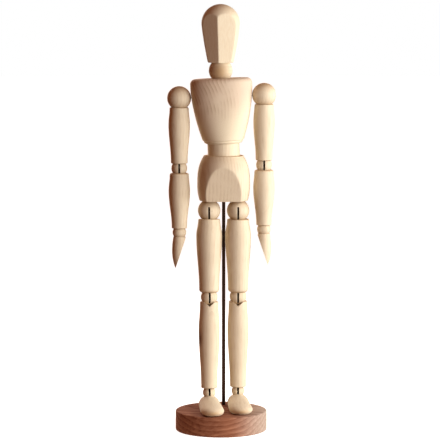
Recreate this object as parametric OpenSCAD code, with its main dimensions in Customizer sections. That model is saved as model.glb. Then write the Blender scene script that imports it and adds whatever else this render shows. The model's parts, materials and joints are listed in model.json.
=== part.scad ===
// Jointed wooden artist mannequin on a round base, facing -Y.
// The origin is the centre of the base's underside. Left and right are the figure's own sides.

/* [Base and rod] */
// Diameter of the base
base_d = 65.4; // [60:0.2:80]
// Thickness of the base
base_h = 14; // [12:0.5:20]
// Chamfer on the base's edges
base_chamfer = 0.8; // [0.4:0.1:2]
// Diameter of the support rod
rod_d = 2.6; // [2:0.1:2.8]
// Distance of the rod behind the leg axes
rod_back = 5.5; // [5:0.1:8]
// Wood left in the base under the rod
rod_floor = 5; // [3:0.5:8]
// Depth of the rod in the pelvis
rod_pelvis_depth = 13; // [8:0.5:14]
// Distance of the figure behind the base's centre
figure_back = 14.5; // [8:0.5:16]
// Distance of the figure from the base's centre towards its own left
figure_side = 1.8; // [-4:0.1:4]

/* [Feet] */
// Gap between the sole and the base
sole_gap = 0.4; // [0.35:0.05:0.8]
// Height of the ankle ball's centre over the sole
ankle_h = 10.9; // [10.6:0.1:12]
// Length of the foot in front of the ankle
foot_front = 38; // [32:0.5:40]
// Length of the heel behind the ankle
foot_back = 7.5; // [6.5:0.1:8.5]
// Width of the toe
toe_w = 16.8; // [14:0.2:17]
// Width of the heel
heel_w = 15.2; // [12:0.2:15.6]
// Height of the toe's crown over the sole
toe_h = 6.3; // [5:0.1:7]
// Height of the instep under the ankle over the sole
instep_h = 8.8; // [8:0.1:9]
// Height of the heel's crown over the sole
heel_h = 8.8; // [6:0.1:9.2]
// Height of the foot's widest line over the sole
foot_mid = 2.2; // [1:0.1:3]
// Angle that the left foot is turned outwards at rest
foot_out = 4; // [0:1:8]
// Angle that the right foot is turned inwards at rest
foot_in = 5; // [0:1:6]

/* [Legs] */
// Distance of each leg's axis from the middle
leg_x = 10.4; // [10.2:0.1:12]
// Distance between ankle and knee centres
shin_span = 68.9; // [60:0.2:80]
// Distance between knee and hip centres
thigh_span = 62.4; // [56:0.2:75]
// Largest radius of the shin
shin_r = 7.6; // [7:0.1:8.2]
// Radius of the shin below the knee
shin_top_r = 6.6; // [6.4:0.1:7]
// Radius of the shin above the ankle
shin_end_r = 5.8; // [5.6:0.1:6.4]
// Largest radius of the thigh
thigh_r = 9.3; // [8.4:0.1:9.4]
// Radius of the thigh's rim at the hip
thigh_top_r = 7.9; // [7.6:0.1:8.4]
// Radius of the thigh above the knee
thigh_end_r = 7.2; // [6.6:0.1:7.6]
// Rounding of the thigh's end above the knee
thigh_end_round = 2.4; // [1:0.1:2.8]
// Width of the relief notch in the shin's front rim
notch_w = 7.6; // [5:0.1:9]
// Depth of the relief notch
notch_d = 3.4; // [1.5:0.1:4]
// Angle that the right leg is swung forwards at rest
leg_swing = 3.5; // [0:0.5:5]
// Angle that the right knee is turned inwards at rest
knee_in = 4; // [3:0.5:6]

/* [Torso] */
// Height of the pelvis
pelvis_h = 32.4; // [30:0.5:40]
// Largest radius of the pelvis
pelvis_r = 19; // [18.6:0.1:21]
// Radius of the pelvis at its bottom
pelvis_bottom_r = 17.6; // [17:0.1:18.6]
// Radius of the pelvis at its top
pelvis_top_r = 14.6; // [14:0.1:16]
// Height of the pelvis's widest place over its bottom
pelvis_mid = 10.5; // [8:0.5:14]
// Distance of the pelvis's flat from the axis at the bottom
flat_in = 12.3; // [12:0.1:14]
// Height at which the pelvis's flat runs out
flat_h = 25; // [20:0.2:28]
// Height of the chest
chest_h = 46.4; // [44:0.1:56]
// Half width of the chest at its widest
chest_half_w = 22.2; // [21.5:0.1:22.9]
// Half depth of the chest at its deepest
chest_half_d = 15.5; // [14:0.1:18]
// Half width of the chest at the waist
chest_waist_r = 14; // [13.6:0.1:15]
// Height of the chest's widest place over its bottom
chest_mid = 42; // [36:0.2:43]
// Rounding of the chest's shoulders
chest_round = 3.5; // [2:0.1:4.4]
// Rounding of the chest's lower edge
chest_low_round = 2; // [1:0.1:2.4]
// Angle that the chest leans towards the figure's right at rest
chest_lean = 2.2; // [0:0.1:4]

/* [Head] */
// Height of the head
head_h = 41.7; // [38:0.2:48]
// Largest radius of the head
head_r = 13.7; // [12.8:0.1:15]
// Radius of the head at the neck
head_neck_r = 9.2; // [8.8:0.1:10]
// Distance of the face's ridge from the axis at the neck
ridge_in = 7.9; // [7:0.1:8.6]
// Height at which the face's ridge runs out
ridge_h = 32.8; // [30:0.2:35]
// Angle of each face facet from straight ahead
facet_angle = 25; // [18:1:28]
// Angle that the head is turned towards the figure's left at rest
head_look = -10; // [-20:1:20]

/* [Arms] */
// Distance of each arm's axis from the middle
arm_x = 30.4; // [30.4:0.1:34]
// Height of the shoulder's centre under the chest's top
shoulder_drop = 13; // [11:0.2:16]
// Distance between shoulder and elbow centres
upper_arm_span = 50.2; // [46:0.2:60]
// Distance between elbow and wrist centres
forearm_span = 46.3; // [42:0.2:56]
// Largest radius of the upper arm and forearm
arm_r = 7.7; // [7.2:0.1:7.8]
// Radius of the upper arm's rim at the shoulder
upper_arm_top_r = 6.9; // [6.8:0.1:7.2]
// Radius of the upper arm above the elbow
upper_arm_end_r = 6; // [5.8:0.1:6.6]
// Radius of the forearm below the elbow
forearm_top_r = 6.9; // [6.4:0.1:7.2]
// Rounding of the forearm's end below the elbow
forearm_round = 1.6; // [0.8:0.1:2]
// Radius of the forearm at the wrist
wrist_end_r = 5.5; // [5.2:0.1:6]
// Length of the hand
hand_l = 23.4; // [18:0.1:26]
// Largest radius of the hand before its palm is cut
hand_r = 5.3; // [5:0.1:6]
// Radius of the hand's rim at the wrist
hand_top_r = 4.4; // [4.2:0.1:4.8]
// Distance of the fingertip outwards from the hand's axis
fingertip_out = 3; // [2:0.1:3.6]
// Height of the hand's rim that the palm's cut leaves whole
palm_top = 1.6; // [1.2:0.1:3]

/* [Balls] */
// Radius of the neck ball
neck_r = 8.5; // [8.2:0.1:8.8]
// Radius of the waist ball
waist_r = 12.3; // [12:0.1:12.6]
// Radius of the waist ball's straight belt
waist_belt_r = 11.5; // [11:0.1:11.8]
// Radius of the shoulder ball
shoulder_r = 8.6; // [8.4:0.1:8.8]
// Radius of the elbow ball
elbow_r = 5.7; // [5.6:0.1:6]
// Radius of the wrist ball
wrist_r = 4.9; // [4.7:0.1:5.1]
// Radius of the hip ball
hip_r = 8.1; // [7.8:0.1:8.3]
// Radius of the knee ball
knee_r = 6; // [5.8:0.1:6.2]
// Radius of the ankle ball
ankle_r = 4.6; // [4.4:0.1:4.8]
// Clearance between a ball and its cup
cup_gap = 0.2; // [0.15:0.05:0.3]
// Width of the slot in a ball
slot_w = 1.3; // [1.2:0.05:1.5]

/* [Wire] */
// Radius of the pins through the balls
pin_r = 0.6; // [0.5:0.05:0.65]
// Radius of the spring wire
wire_r = 0.35; // [0.3:0.05:0.4]
// Mean radius of a spring's coil
coil_r = 1.7; // [1.6:0.05:1.8]
// Turns of a limb's spring
coil_turns = 6; // [4:1:8]
// Radial clearance of a pin or spigot in its bore
pin_fit = 0.05; // [0.03:0.01:0.08]

/* [Hidden] */
$fn = 64;
SIDES = ["left", "right"];
LIMB_NODES = [
    "shoulder_ball", "shoulder_pin", "upper_arm", "upper_arm_spring", "elbow_ball", "elbow_pin",
    "forearm", "forearm_spring", "wrist_ball", "wrist_pin", "hand",
    "hip_ball", "hip_pin", "thigh", "thigh_spring", "knee_ball", "knee_pin",
    "shin", "shin_spring", "ankle_ball", "ankle_pin", "foot"
];

wood = "#E9CFA4";
base_wood = "#B58262";
steel = "#57524C";

// Distances from a ball's centre to the rims of the two pieces that hold it
neck_rim = 5.6;
waist_rim = 4.4;
shoulder_rim = 6.6;
elbow_rim = 3.4;
wrist_rim = 2.9;
hip_rim_above = 7.2;
hip_rim_below = 6.2;
knee_rim = 3.2;
ankle_rim = 3.1;

// Heights of the joint centres, stacked from the base
sole_z = base_h + sole_gap;
ankle_z = sole_z + ankle_h;
knee_z = ankle_z + shin_span;
hip_z = knee_z + thigh_span;
pelvis_z = hip_z + hip_rim_above;
waist_z = pelvis_z + pelvis_h + waist_rim;
chest_z = waist_z + waist_rim;
neck_z = chest_z + chest_h + neck_rim;
head_z = neck_z + neck_rim;
shoulder_z = chest_z + chest_h - shoulder_drop;
elbow_z = shoulder_z - upper_arm_span;
wrist_z = elbow_z - forearm_span;

// Hooks: a close one in a slot, and a wide one beside it that also lets the ball turn
hook_play = 0.35;
wide_hook_play = 1.1;
hook_side_play = 0.8;
hook_r = pin_r + wire_r + hook_play;
wide_hook_r = pin_r + wire_r + wide_hook_play;
wide_hook_x = -(slot_w / 2 + wire_r + hook_side_play);
hook_room = hook_r + wire_r + hook_play;
wide_hook_room = wide_hook_r + wire_r + hook_play;
turn_bore_r = norm([wide_hook_x, wide_hook_r]) + wire_r + hook_play;
shank_l = 10;
turn_bore_l = shank_l + 2;
coil_play = 0.25;
coil_bore_r = coil_r + wire_r + coil_play;
// Where a slot that is open in front ends behind the pin
slot_end = coil_r + wire_r + hook_play;
coil_pitch = 5 * wire_r;
bead_r = 3 * wire_r;
bead_in = hook_room + bead_r + hook_play;

// Spigots on the balls that turn in the head, pelvis, hands and feet: radius and length
neck_spigot = [2.5, 9];
waist_spigot = [3.5, 7];
wrist_spigot = [1.5, 3.5];
ankle_spigot = [1.6, 2.6];
spigot_end_gap = 0.3;

edge_round = 0.7;
// Depths under a ball's surface at which its pin, a pin that stays hidden in front, and a hidden slot end
pin_in = 0.5;
blind_in = 2.5;
slot_in = 3.5;
wrist_slot_in = 1.4;
// Depth of the groove in the knee ball's front, and height of the hip ball's slot over its pin
groove_d = 1.7;
hip_slot_top = 3;
// Height share at which each limb is widest
upper_arm_mid = 0.7;
forearm_mid = 0.7;
thigh_mid = 0.78;
shin_mid = 0.68;
arc_steps = 4;
barrel_steps = 10;
// Size of the blocks that cut flats, and how far other cuts run past a face
reach = 3 * base_d;
past = 1;

// Turned outlines

// Quarter circle of radius e that rounds an end, as pairs of inset and height
function end_arc(e) = [for (i = [0 : arc_steps]) let (a = 90 * i / arc_steps) [e * (1 - sin(a)), e * (1 - cos(a))]];

// Smooth step from 0 to 1
function ease(t) = (1 - cos(180 * t)) / 2;

// Radius of a barrel at height share t, with its widest place at share m
function barrel_r(t, bottom, top, widest, m) =
    t < m ? bottom + (widest - bottom) * ease(t / m) : top + (widest - top) * ease((1 - t) / (1 - m));

// Half outline of a turned piece from height 0 to h: radii from a list, ends rounded by low and high
function turned_outline(radii, h, low, high) = let (n = len(radii) - 1) concat(
    [[0, 0]],
    [for (p = end_arc(low)) [radii[0] - p[0], p[1]]],
    [for (i = [1 : n - 1]) [radii[i], low + (h - low - high) * i / n]],
    [for (i = [arc_steps : -1 : 0]) let (p = end_arc(high)[i]) [radii[n] - p[0], h - p[1]]],
    [[0, h]]
);

module turned(radii, h, low = edge_round, high = edge_round)
    rotate_extrude() polygon(turned_outline(radii, h, low, high));

module barrel(h, bottom, top, widest, m, low = edge_round, high = edge_round)
    turned([for (i = [0 : barrel_steps]) barrel_r(i / barrel_steps, bottom, top, widest, m)], h, low, high);

// Places: the figure's own middle on the base, and a height and distance from it

module figure() translate([figure_side, figure_back, 0]) children();

module on_figure(z, x = 0) translate([x, 0, z]) children();

// The left limb as drawn, or its mirror image on the right
module on_side(side) mirror([side == "right" ? 1 : 0, 0, 0]) children();

// Rest pose: the upper body leans over the waist, and the arms and head hang or stand straight on it
module leaned() on_figure(waist_z) rotate([0, -chest_lean, 0]) on_figure(-waist_z) children();

function lean_shift(x, z) =
    [x * cos(chest_lean) - (z - waist_z) * sin(chest_lean) - x, 0,
     x * sin(chest_lean) + (z - waist_z) * cos(chest_lean) - (z - waist_z)];

// The right leg is swung about its hip, and its foot is carried along level; its knee is turned inwards
function swing_of(side) = side == "right" ? leg_swing : 0;

module swung(side) on_figure(hip_z) rotate([-swing_of(side), 0, 0]) on_figure(-hip_z) children();

module knee_turned(side) on_figure(0, leg_x) rotate(side == "right" ? -knee_in : 0) on_figure(0, -leg_x) children();

module stepped(side) translate((hip_z - ankle_z) * [0, -sin(swing_of(side)), 1 - cos(swing_of(side))]) children();

// Balls

module cup(r) sphere(r + cup_gap);

// Hole for a pin of the ball's width, along X or turned by angle about Z
module pin_hole(r, angle = 0) rotate([0, 90, angle]) cylinder(r = pin_r + pin_fit, h = 2 * (r + past), center = true);

module pin(r, angle = 0) color(steel) rotate([0, 90, angle]) cylinder(r = pin_r, h = 2 * (r - pin_in), center = true);

// The same along Y, but driven in from behind and not seen in front
module blind_pin_hole(r) rotate([-90, 0, 0]) translate([0, 0, blind_in - r - spigot_end_gap])
    cylinder(r = pin_r + pin_fit, h = 2 * r);

module blind_pin(r) color(steel) rotate([-90, 0, 0]) translate([0, 0, blind_in - r])
    cylinder(r = pin_r, h = 2 * r - blind_in - pin_in);

// Sawn slot square to the pin: its ends in the slot's plane, lower and upper height
module slot(front, back, low, high, angle = 0)
    rotate(angle) translate([-slot_w / 2, front, low]) cube([slot_w, back - front, high - low]);

// Ball that a wide hook enters from above and a close hook from below, with a slot in front or behind
module clevis_ball(r, slot_top, behind = false) color(wood) difference() {
    sphere(r);
    if (behind) {
        slot(-hook_room, r + past, -r - past, slot_top);
        slot(-r - past, groove_d - r, -r - past, slot_top);
    } else slot(-r - past, slot_end, -r - past, slot_top);
    translate([0, 0, -wide_hook_room]) cylinder(r = turn_bore_r, h = r + wide_hook_room + past);
    pin_hole(r);
}

// Ball with a spigot below and a slot that a close hook enters from above
module spigot_ball(r, spigot, slot_front, slot_back, angle = 0) color(wood) difference() {
    union() {
        children();
        translate([0, 0, -r - spigot[1]]) cylinder(r = spigot[0], h = spigot[1] + r / 2);
    }
    slot(slot_front, slot_back, -hook_room, r + past, angle);
    if (angle == 0) pin_hole(r);
    else blind_pin_hole(r);
}

// Bore for a spigot, from the ball's centre downwards
module spigot_bore(r, spigot)
    translate([0, 0, -r - spigot[1] - spigot_end_gap]) cylinder(r = spigot[0] + pin_fit, h = r + spigot[1]);

// Wire

function unit(v) = v / norm(v);

// Points of a hook over a pin along X, from its free end to its shank at +Y, turned by angle about Z
hook_step = 30;
function hook_points(r, x, angle) = [for (a = [240 : -hook_step : 0])
    let (y = r * cos(a)) [x * cos(angle) - y * sin(angle), x * sin(angle) + y * cos(angle), r * sin(a)]];

// Points of a coil along -Z between two heights and two angles
coil_step = 45;
function coil_points(r, z0, z1, a0, a1) = let (n = round((a1 - a0) / coil_step))
    [for (i = [0 : n]) let (a = a0 + (a1 - a0) * i / n) [r * cos(a), r * sin(a), z0 + (z1 - z0) * i / n]];

function flip_z(points, z) = [for (i = [len(points) - 1 : -1 : 0]) let (p = points[i]) [p[0], p[1], z - p[2]]];

// Round wire along points: rings kept from twisting by carrying each one's normal to the next
wire_sides = 6;
module wire(points, r) {
    n = len(points) - 1;
    tangents = [for (i = [0 : n]) unit(points[min(i + 1, n)] - points[max(i - 1, 0)])];
    seed = unit(cross(tangents[0], abs(tangents[0][2]) > 0.9 ? [1, 0, 0] : [0, 0, 1]));
    normals = [for (i = 0, v = seed; i <= n;
        i = i + 1, v = i <= n ? unit(v - (v * tangents[i]) * tangents[i]) : v) v];
    rings = [for (i = [0 : n], k = [0 : wire_sides - 1]) let (a = 360 * k / wire_sides)
        points[i] + r * (cos(a) * normals[i] + sin(a) * cross(tangents[i], normals[i]))];
    sides = [for (i = [0 : n - 1], k = [0 : wire_sides - 1])
        let (a = i * wire_sides + k, b = i * wire_sides + (k + 1) % wire_sides)
        each [[a, b, a + wire_sides], [b, b + wire_sides, a + wire_sides]]];
    caps = [for (k = [1 : wire_sides - 2]) each [
        [0, k + 1, k],
        [n * wire_sides, n * wire_sides + k, n * wire_sides + k + 1]]];
    polyhedron([for (p = rings) p], [for (f = concat(sides, caps)) [f[0], f[2], f[1]]]);
}

// Spring between two pins, span apart along -Z; a hook is its radius, its place on the pin and its angle
close_hook = [hook_r, 0, 0];
cross_hook = [hook_r, 0, 90];
wide_hook = [wide_hook_r, wide_hook_x, 0];
function shank_point(angle, z) = [-coil_r * sin(angle), coil_r * cos(angle), z];
function spring_points(span, upper, lower, turns, middle) =
    let (half = coil_pitch * turns / 2) concat(
        hook_points(upper[0], upper[1], upper[2]),
        [shank_point(upper[2], -shank_l)],
        coil_points(coil_r, -middle + half, -middle - half, 90 + upper[2], 90 + lower[2] + 360 * turns),
        [shank_point(lower[2], shank_l - span)],
        flip_z(hook_points(lower[0], lower[1], lower[2]), -span)
    );

module spring(span, upper, lower, turns = coil_turns, middle = 0)
    color(steel) wire(spring_points(span, upper, lower, turns, middle == 0 ? span / 2 : middle), wire_r);

// Base and rod

module base() color(base_wood) difference() {
    rotate_extrude() polygon([
        [0, 0], [base_d / 2 - base_chamfer, 0], [base_d / 2, base_chamfer],
        [base_d / 2, base_h - base_chamfer], [base_d / 2 - base_chamfer, base_h], [0, base_h]
    ]);
    figure() translate([0, rod_back, rod_floor]) cylinder(d = rod_d + 2 * pin_fit, h = base_h);
}

rod_tip_z = pelvis_z + rod_pelvis_depth;
module support_rod() color(steel) on_figure(rod_floor) translate([0, rod_back, 0])
    cylinder(d = rod_d, h = rod_tip_z - rod_floor);

// Torso and head

link_z = pelvis_z + 8;
pelvis_steps = 16;
function pelvis_radius(h) = h < pelvis_mid
    ? pelvis_r - (pelvis_r - pelvis_bottom_r) * pow(1 - h / pelvis_mid, 2)
    : pelvis_r - (pelvis_r - pelvis_top_r) * pow((h - pelvis_mid) / (pelvis_h - pelvis_mid), 3);

module pelvis() color(wood) difference() {
    on_figure(pelvis_z)
        turned([for (i = [0 : pelvis_steps]) pelvis_radius(pelvis_h * i / pelvis_steps)], pelvis_h);
    flat_tilt = atan((pelvis_radius(flat_h) - flat_in) / flat_h);
    for (front = [0, 180]) on_figure(pelvis_z) rotate(front) translate([0, flat_in, 0])
        rotate([-flat_tilt, 0, 0]) translate([-reach / 2, 0, -reach / 2]) cube(reach);
    leaned() on_figure(waist_z) {
        cup(waist_r);
        spigot_bore(waist_r, waist_spigot);
    }
    for (side = SIDES) on_side(side) on_figure(hip_z, leg_x) {
        cup(hip_r);
        cylinder(r = turn_bore_r, h = link_z - hip_z + link_r + hook_play);
    }
    on_figure(link_z) translate([0, link_y, 0]) rotate([0, 90, 0])
        cylinder(r = link_r + hook_play, h = 2 * leg_x, center = true);
    on_figure(pelvis_z - past) translate([0, rod_back, 0])
        cylinder(d = rod_d + 2 * pin_fit, h = rod_pelvis_depth + spigot_end_gap + past);
}

// Wire that hooks both hip pins and runs across inside the pelvis
link_r = wire_r;
link_y = wide_hook_r;
module hip_link() color(steel) on_figure(0) {
    half = [for (p = hook_points(wide_hook_r, wide_hook_x, 0)) [leg_x + p[0], p[1], hip_z - p[2]]];
    top = [[leg_x + wide_hook_x, link_y, link_z - 2 * link_r], [leg_x + wide_hook_x - 2 * link_r, link_y, link_z]];
    left_half = concat(half, top);
    right_half = [for (i = [len(left_half) - 1 : -1 : 0]) let (p = left_half[i]) [-p[0], p[1], p[2]]];
    wire(concat(left_half, right_half), link_r);
}

// The waist ball is turned down to a straight belt between the pelvis and the chest
module waist_ball() leaned() on_figure(waist_z) spigot_ball(waist_r, waist_spigot, slot_in - waist_r, waist_r - slot_in)
    intersection() {
        sphere(waist_r);
        cylinder(r = waist_belt_r, h = 2 * waist_r, center = true);
    }

module waist_pin() leaned() on_figure(waist_z) pin(waist_belt_r);

// The chest is lofted from a round waist to a broad oval below the shoulders
chest_sides = 48;
chest_rings = 9;
chest_power = 2.3;
chest_flare = 1.8;
function chest_swell(h) = 1 - pow(1 - min(h, chest_mid) / chest_mid, chest_flare);
function chest_ring(h, inset) =
    let (a = chest_waist_r + (chest_half_w - chest_waist_r) * chest_swell(h) - inset,
         b = chest_waist_r + (chest_half_d - chest_waist_r) * chest_swell(h) - inset,
         q = 2 / (2 + (chest_power - 2) * chest_swell(h)))
    [for (k = [0 : chest_sides - 1]) let (c = cos(360 * k / chest_sides), s = sin(360 * k / chest_sides))
        [a * sign(c) * pow(abs(c), q), b * sign(s) * pow(abs(s), q), h]];
chest_heights = concat(
    [for (p = end_arc(chest_low_round)) [p[1], p[0]]],
    [for (i = [1 : chest_rings])
        [chest_low_round + (chest_h - chest_round - chest_low_round) * i / chest_rings, 0]],
    [for (i = [arc_steps - 1 : -1 : 0]) let (p = end_arc(chest_round)[i]) [chest_h - p[1], p[0]]]
);
module chest_block() {
    points = [for (ring = chest_heights) each chest_ring(ring[0], ring[1])];
    last = len(points) - chest_sides;
    sides = [for (i = [0 : len(chest_heights) - 2], k = [0 : chest_sides - 1])
        let (a = i * chest_sides + k, b = i * chest_sides + (k + 1) % chest_sides)
        each [[a, a + chest_sides, b], [b, a + chest_sides, b + chest_sides]]];
    polyhedron(points, concat(sides, [[for (k = [0 : chest_sides - 1]) k]],
        [[for (k = [chest_sides - 1 : -1 : 0]) last + k]]));
}

module chest() color(wood) leaned() difference() {
    on_figure(chest_z) chest_block();
    on_figure(waist_z) cup(waist_r);
    on_figure(neck_z) cup(neck_r);
    for (side = SIDES) on_side(side) on_figure(shoulder_z, arm_x) cup(shoulder_r);
    on_figure(waist_z) cylinder(r = coil_bore_r, h = neck_z - waist_z);
    on_figure(shoulder_z) rotate([0, 90, 0]) cylinder(r = coil_bore_r, h = 2 * arm_x, center = true);
}

// Spring along the spine, with its coil below the shoulders' wire
spine_coil_drop = shoulder_drop + neck_rim + 16;
module torso_spring() leaned() on_figure(neck_z)
    spring(neck_z - waist_z, close_hook, close_hook, coil_turns, spine_coil_drop);

// Spring across the chest, with beaded ends that turn in the shoulder balls
bead_x = arm_x - bead_in;
shoulder_coil_x = 11;
module shoulder_spring() color(steel) leaned() on_figure(shoulder_z) {
    half = coil_pitch * coil_turns / 2;
    coil = coil_points(coil_r, -half, half, 90, 90 + 360 * coil_turns);
    wire(concat(
        [[-bead_x, 0, 0], [0, 0, 0], [shoulder_coil_x - half - 2, 0, 0]],
        [for (p = coil) [shoulder_coil_x + p[2], p[1], p[0]]],
        [[shoulder_coil_x + half + 2, 0, 0], [bead_x, 0, 0]]
    ), wire_r);
    for (x = [-bead_x, bead_x]) translate([x, 0, 0]) sphere(bead_r);
}

module neck_ball() color(wood) leaned() on_figure(neck_z) difference() {
    union() {
        sphere(neck_r);
        translate([0, 0, neck_r / 2]) cylinder(r = neck_spigot[0], h = neck_spigot[1] + neck_r / 2);
    }
    slot(slot_in - neck_r, neck_r - slot_in, -neck_r - past, hook_room);
    pin_hole(neck_r);
}

module neck_pin() leaned() on_figure(neck_z) pin(neck_r);

// The head is a turned egg with two flat facets that meet in the ridge of the face
head_steps = 12;
crown_steps = 10;
head_mid = head_h - head_r;
head_taper = 1.3;
function head_low_r(h) = head_r - (head_r - head_neck_r) * pow(1 - h / head_mid, head_taper);
function head_crown_r(h) = sqrt(head_r * head_r - pow(h - head_mid, 2));
head_outline = concat(
    [[0, 0]],
    [for (p = end_arc(edge_round)) [head_neck_r - p[0], p[1]]],
    [for (i = [1 : head_steps]) let (h = edge_round + (head_mid - edge_round) * i / head_steps) [head_low_r(h), h]],
    [for (i = [1 : crown_steps]) let (a = 90 * i / crown_steps) [head_r * cos(a), head_mid + head_r * sin(a)]]
);
module head() color(wood) difference() {
    translate(lean_shift(0, neck_z)) on_figure(head_z) rotate(head_look) difference() {
        rotate_extrude() polygon(head_outline);
        ridge_tilt = atan((head_crown_r(ridge_h) - ridge_in) / ridge_h);
        for (side = [-1, 1]) translate([0, -ridge_in, 0]) rotate([ridge_tilt, 0, 0]) rotate(side * facet_angle)
            translate([-reach / 2, -reach, -reach / 2]) cube(reach);
    }
    leaned() on_figure(neck_z) {
        cup(neck_r);
        cylinder(r = neck_spigot[0] + pin_fit, h = neck_r + neck_spigot[1] + spigot_end_gap);
    }
}

// Arms, drawn on the left side

module shoulder_ball(side) color(wood) on_figure(shoulder_z, arm_x) difference() {
    sphere(shoulder_r);
    translate([-hook_room, -slot_w / 2, -shoulder_r - past])
        cube([shoulder_r + hook_room + past, slot_w, shoulder_r + past + hook_room]);
    blind_pin_hole(shoulder_r);
    rotate([0, -90 + (side == "left" ? -chest_lean : chest_lean), 0]) {
        cylinder(r = bead_r + coil_play, h = bead_in + bead_r + coil_play);
        cylinder(r = wire_r + coil_play, h = shoulder_r + past);
    }
}

module shoulder_pin() on_figure(shoulder_z, arm_x) blind_pin(shoulder_r);

module upper_arm() color(wood) difference() {
    h = upper_arm_span - shoulder_rim - elbow_rim;
    on_figure(elbow_z + elbow_rim, arm_x) barrel(h, upper_arm_end_r, upper_arm_top_r, arm_r, upper_arm_mid);
    on_figure(elbow_z, arm_x) {
        cup(elbow_r);
        cylinder(r = coil_bore_r, h = upper_arm_span);
        cylinder(r = turn_bore_r, h = turn_bore_l);
    }
    on_figure(shoulder_z, arm_x) cup(shoulder_r);
}

module upper_arm_spring() on_figure(shoulder_z, arm_x) spring(upper_arm_span, cross_hook, wide_hook);

module elbow_ball() on_figure(elbow_z, arm_x) clevis_ball(elbow_r, elbow_rim);

module elbow_pin() on_figure(elbow_z, arm_x) pin(elbow_r);

module forearm() color(wood) difference() {
    h = forearm_span - elbow_rim - wrist_rim;
    on_figure(wrist_z + wrist_rim, arm_x) barrel(h, wrist_end_r, forearm_top_r, arm_r, forearm_mid, edge_round, forearm_round);
    on_figure(wrist_z, arm_x) {
        cup(wrist_r);
        cylinder(r = coil_bore_r, h = forearm_span);
    }
    on_figure(elbow_z, arm_x) cup(elbow_r);
}

module forearm_spring() on_figure(elbow_z, arm_x) spring(forearm_span, close_hook, cross_hook);

module wrist_ball() on_figure(wrist_z, arm_x)
    spigot_ball(wrist_r, wrist_spigot, wrist_slot_in - wrist_r, wrist_r - wrist_slot_in, 90) sphere(wrist_r);

module wrist_pin() on_figure(wrist_z, arm_x) blind_pin(wrist_r);

// The hand is a turned bud with its palm cut flat on the inner side
hand_steps = 14;
hand_mid = 0.45;
hand_edge = 0.6;
function hand_radius(t) = t < hand_mid
    ? hand_r - (hand_r - hand_top_r) * pow(1 - t / hand_mid, 2)
    : hand_r - (hand_r - fingertip_out) * pow((t - hand_mid) / (1 - hand_mid), 2);
palm_angle = atan((hand_top_r + fingertip_out) / (hand_l - palm_top));
module hand() color(wood) on_figure(wrist_z - wrist_rim, arm_x) difference() {
    mirror([0, 0, 1]) turned([for (i = [0 : hand_steps]) hand_radius(i / hand_steps)], hand_l, hand_edge);
    translate([-hand_top_r, 0, -palm_top]) rotate([0, -palm_angle, 0])
        translate([-reach, -reach / 2, -reach / 2]) cube(reach);
    translate([0, 0, wrist_rim]) {
        cup(wrist_r);
        spigot_bore(wrist_r, wrist_spigot);
    }
}

// Legs, drawn on the left side

module hip_ball() on_figure(hip_z, leg_x) clevis_ball(hip_r, hip_slot_top);

module hip_pin() on_figure(hip_z, leg_x) pin(hip_r);

module thigh() color(wood) difference() {
    h = thigh_span - hip_rim_below - knee_rim;
    on_figure(knee_z + knee_rim, leg_x) barrel(h, thigh_end_r, thigh_top_r, thigh_r, thigh_mid, thigh_end_round);
    on_figure(knee_z, leg_x) {
        cup(knee_r);
        cylinder(r = coil_bore_r, h = thigh_span);
        cylinder(r = turn_bore_r, h = turn_bore_l);
    }
    on_figure(hip_z, leg_x) cup(hip_r);
}

module thigh_spring() on_figure(hip_z, leg_x) spring(thigh_span, close_hook, wide_hook);

module knee_ball() on_figure(knee_z, leg_x) clevis_ball(knee_r, knee_rim, true);

module knee_pin() on_figure(knee_z, leg_x) pin(knee_r);

module shin() color(wood) difference() {
    h = shin_span - knee_rim - ankle_rim;
    on_figure(ankle_z + ankle_rim, leg_x) barrel(h, shin_end_r, shin_top_r, shin_r, shin_mid);
    on_figure(ankle_z, leg_x) {
        cup(ankle_r);
        cylinder(r = coil_bore_r, h = shin_span);
    }
    on_figure(knee_z, leg_x) cup(knee_r);
    on_figure(knee_z - knee_rim, leg_x) rotate([90, 0, 0]) linear_extrude(shin_r + past)
        polygon([[0, -notch_d], [notch_w, notch_d], [-notch_w, notch_d]]);
}

module shin_spring() on_figure(knee_z, leg_x) spring(shin_span, close_hook, close_hook);

module ankle_ball() on_figure(ankle_z, leg_x) spigot_ball(ankle_r, ankle_spigot, -ankle_r - past, slot_end) sphere(ankle_r);

module ankle_pin() on_figure(ankle_z, leg_x) pin(ankle_r);

// The foot is a rounded wedge: heel, instep and toe drawn together, cut flat for the sole
toe_l = 12;
instep_r = 6;
instep_front = 2.5;
module foot(side) color(wood) difference() {
    on_figure(sole_z, leg_x) rotate(side == "left" ? foot_out : -foot_in) hull() {
        $fn = 32;
        translate([0, foot_back - heel_w / 2, foot_mid])
            scale([heel_w / 2, heel_w / 2, heel_h - foot_mid]) sphere(1);
        translate([0, -instep_front, instep_h - instep_r]) sphere(instep_r);
        translate([0, toe_l - foot_front, foot_mid]) scale([toe_w / 2, toe_l, toe_h - foot_mid]) sphere(1);
    }
    on_figure(sole_z - reach) translate([-reach / 2, -reach / 2, 0]) cube(reach);
    on_figure(ankle_z, leg_x) {
        cup(ankle_r);
        spigot_bore(ankle_r, ankle_spigot);
    }
}

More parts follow.
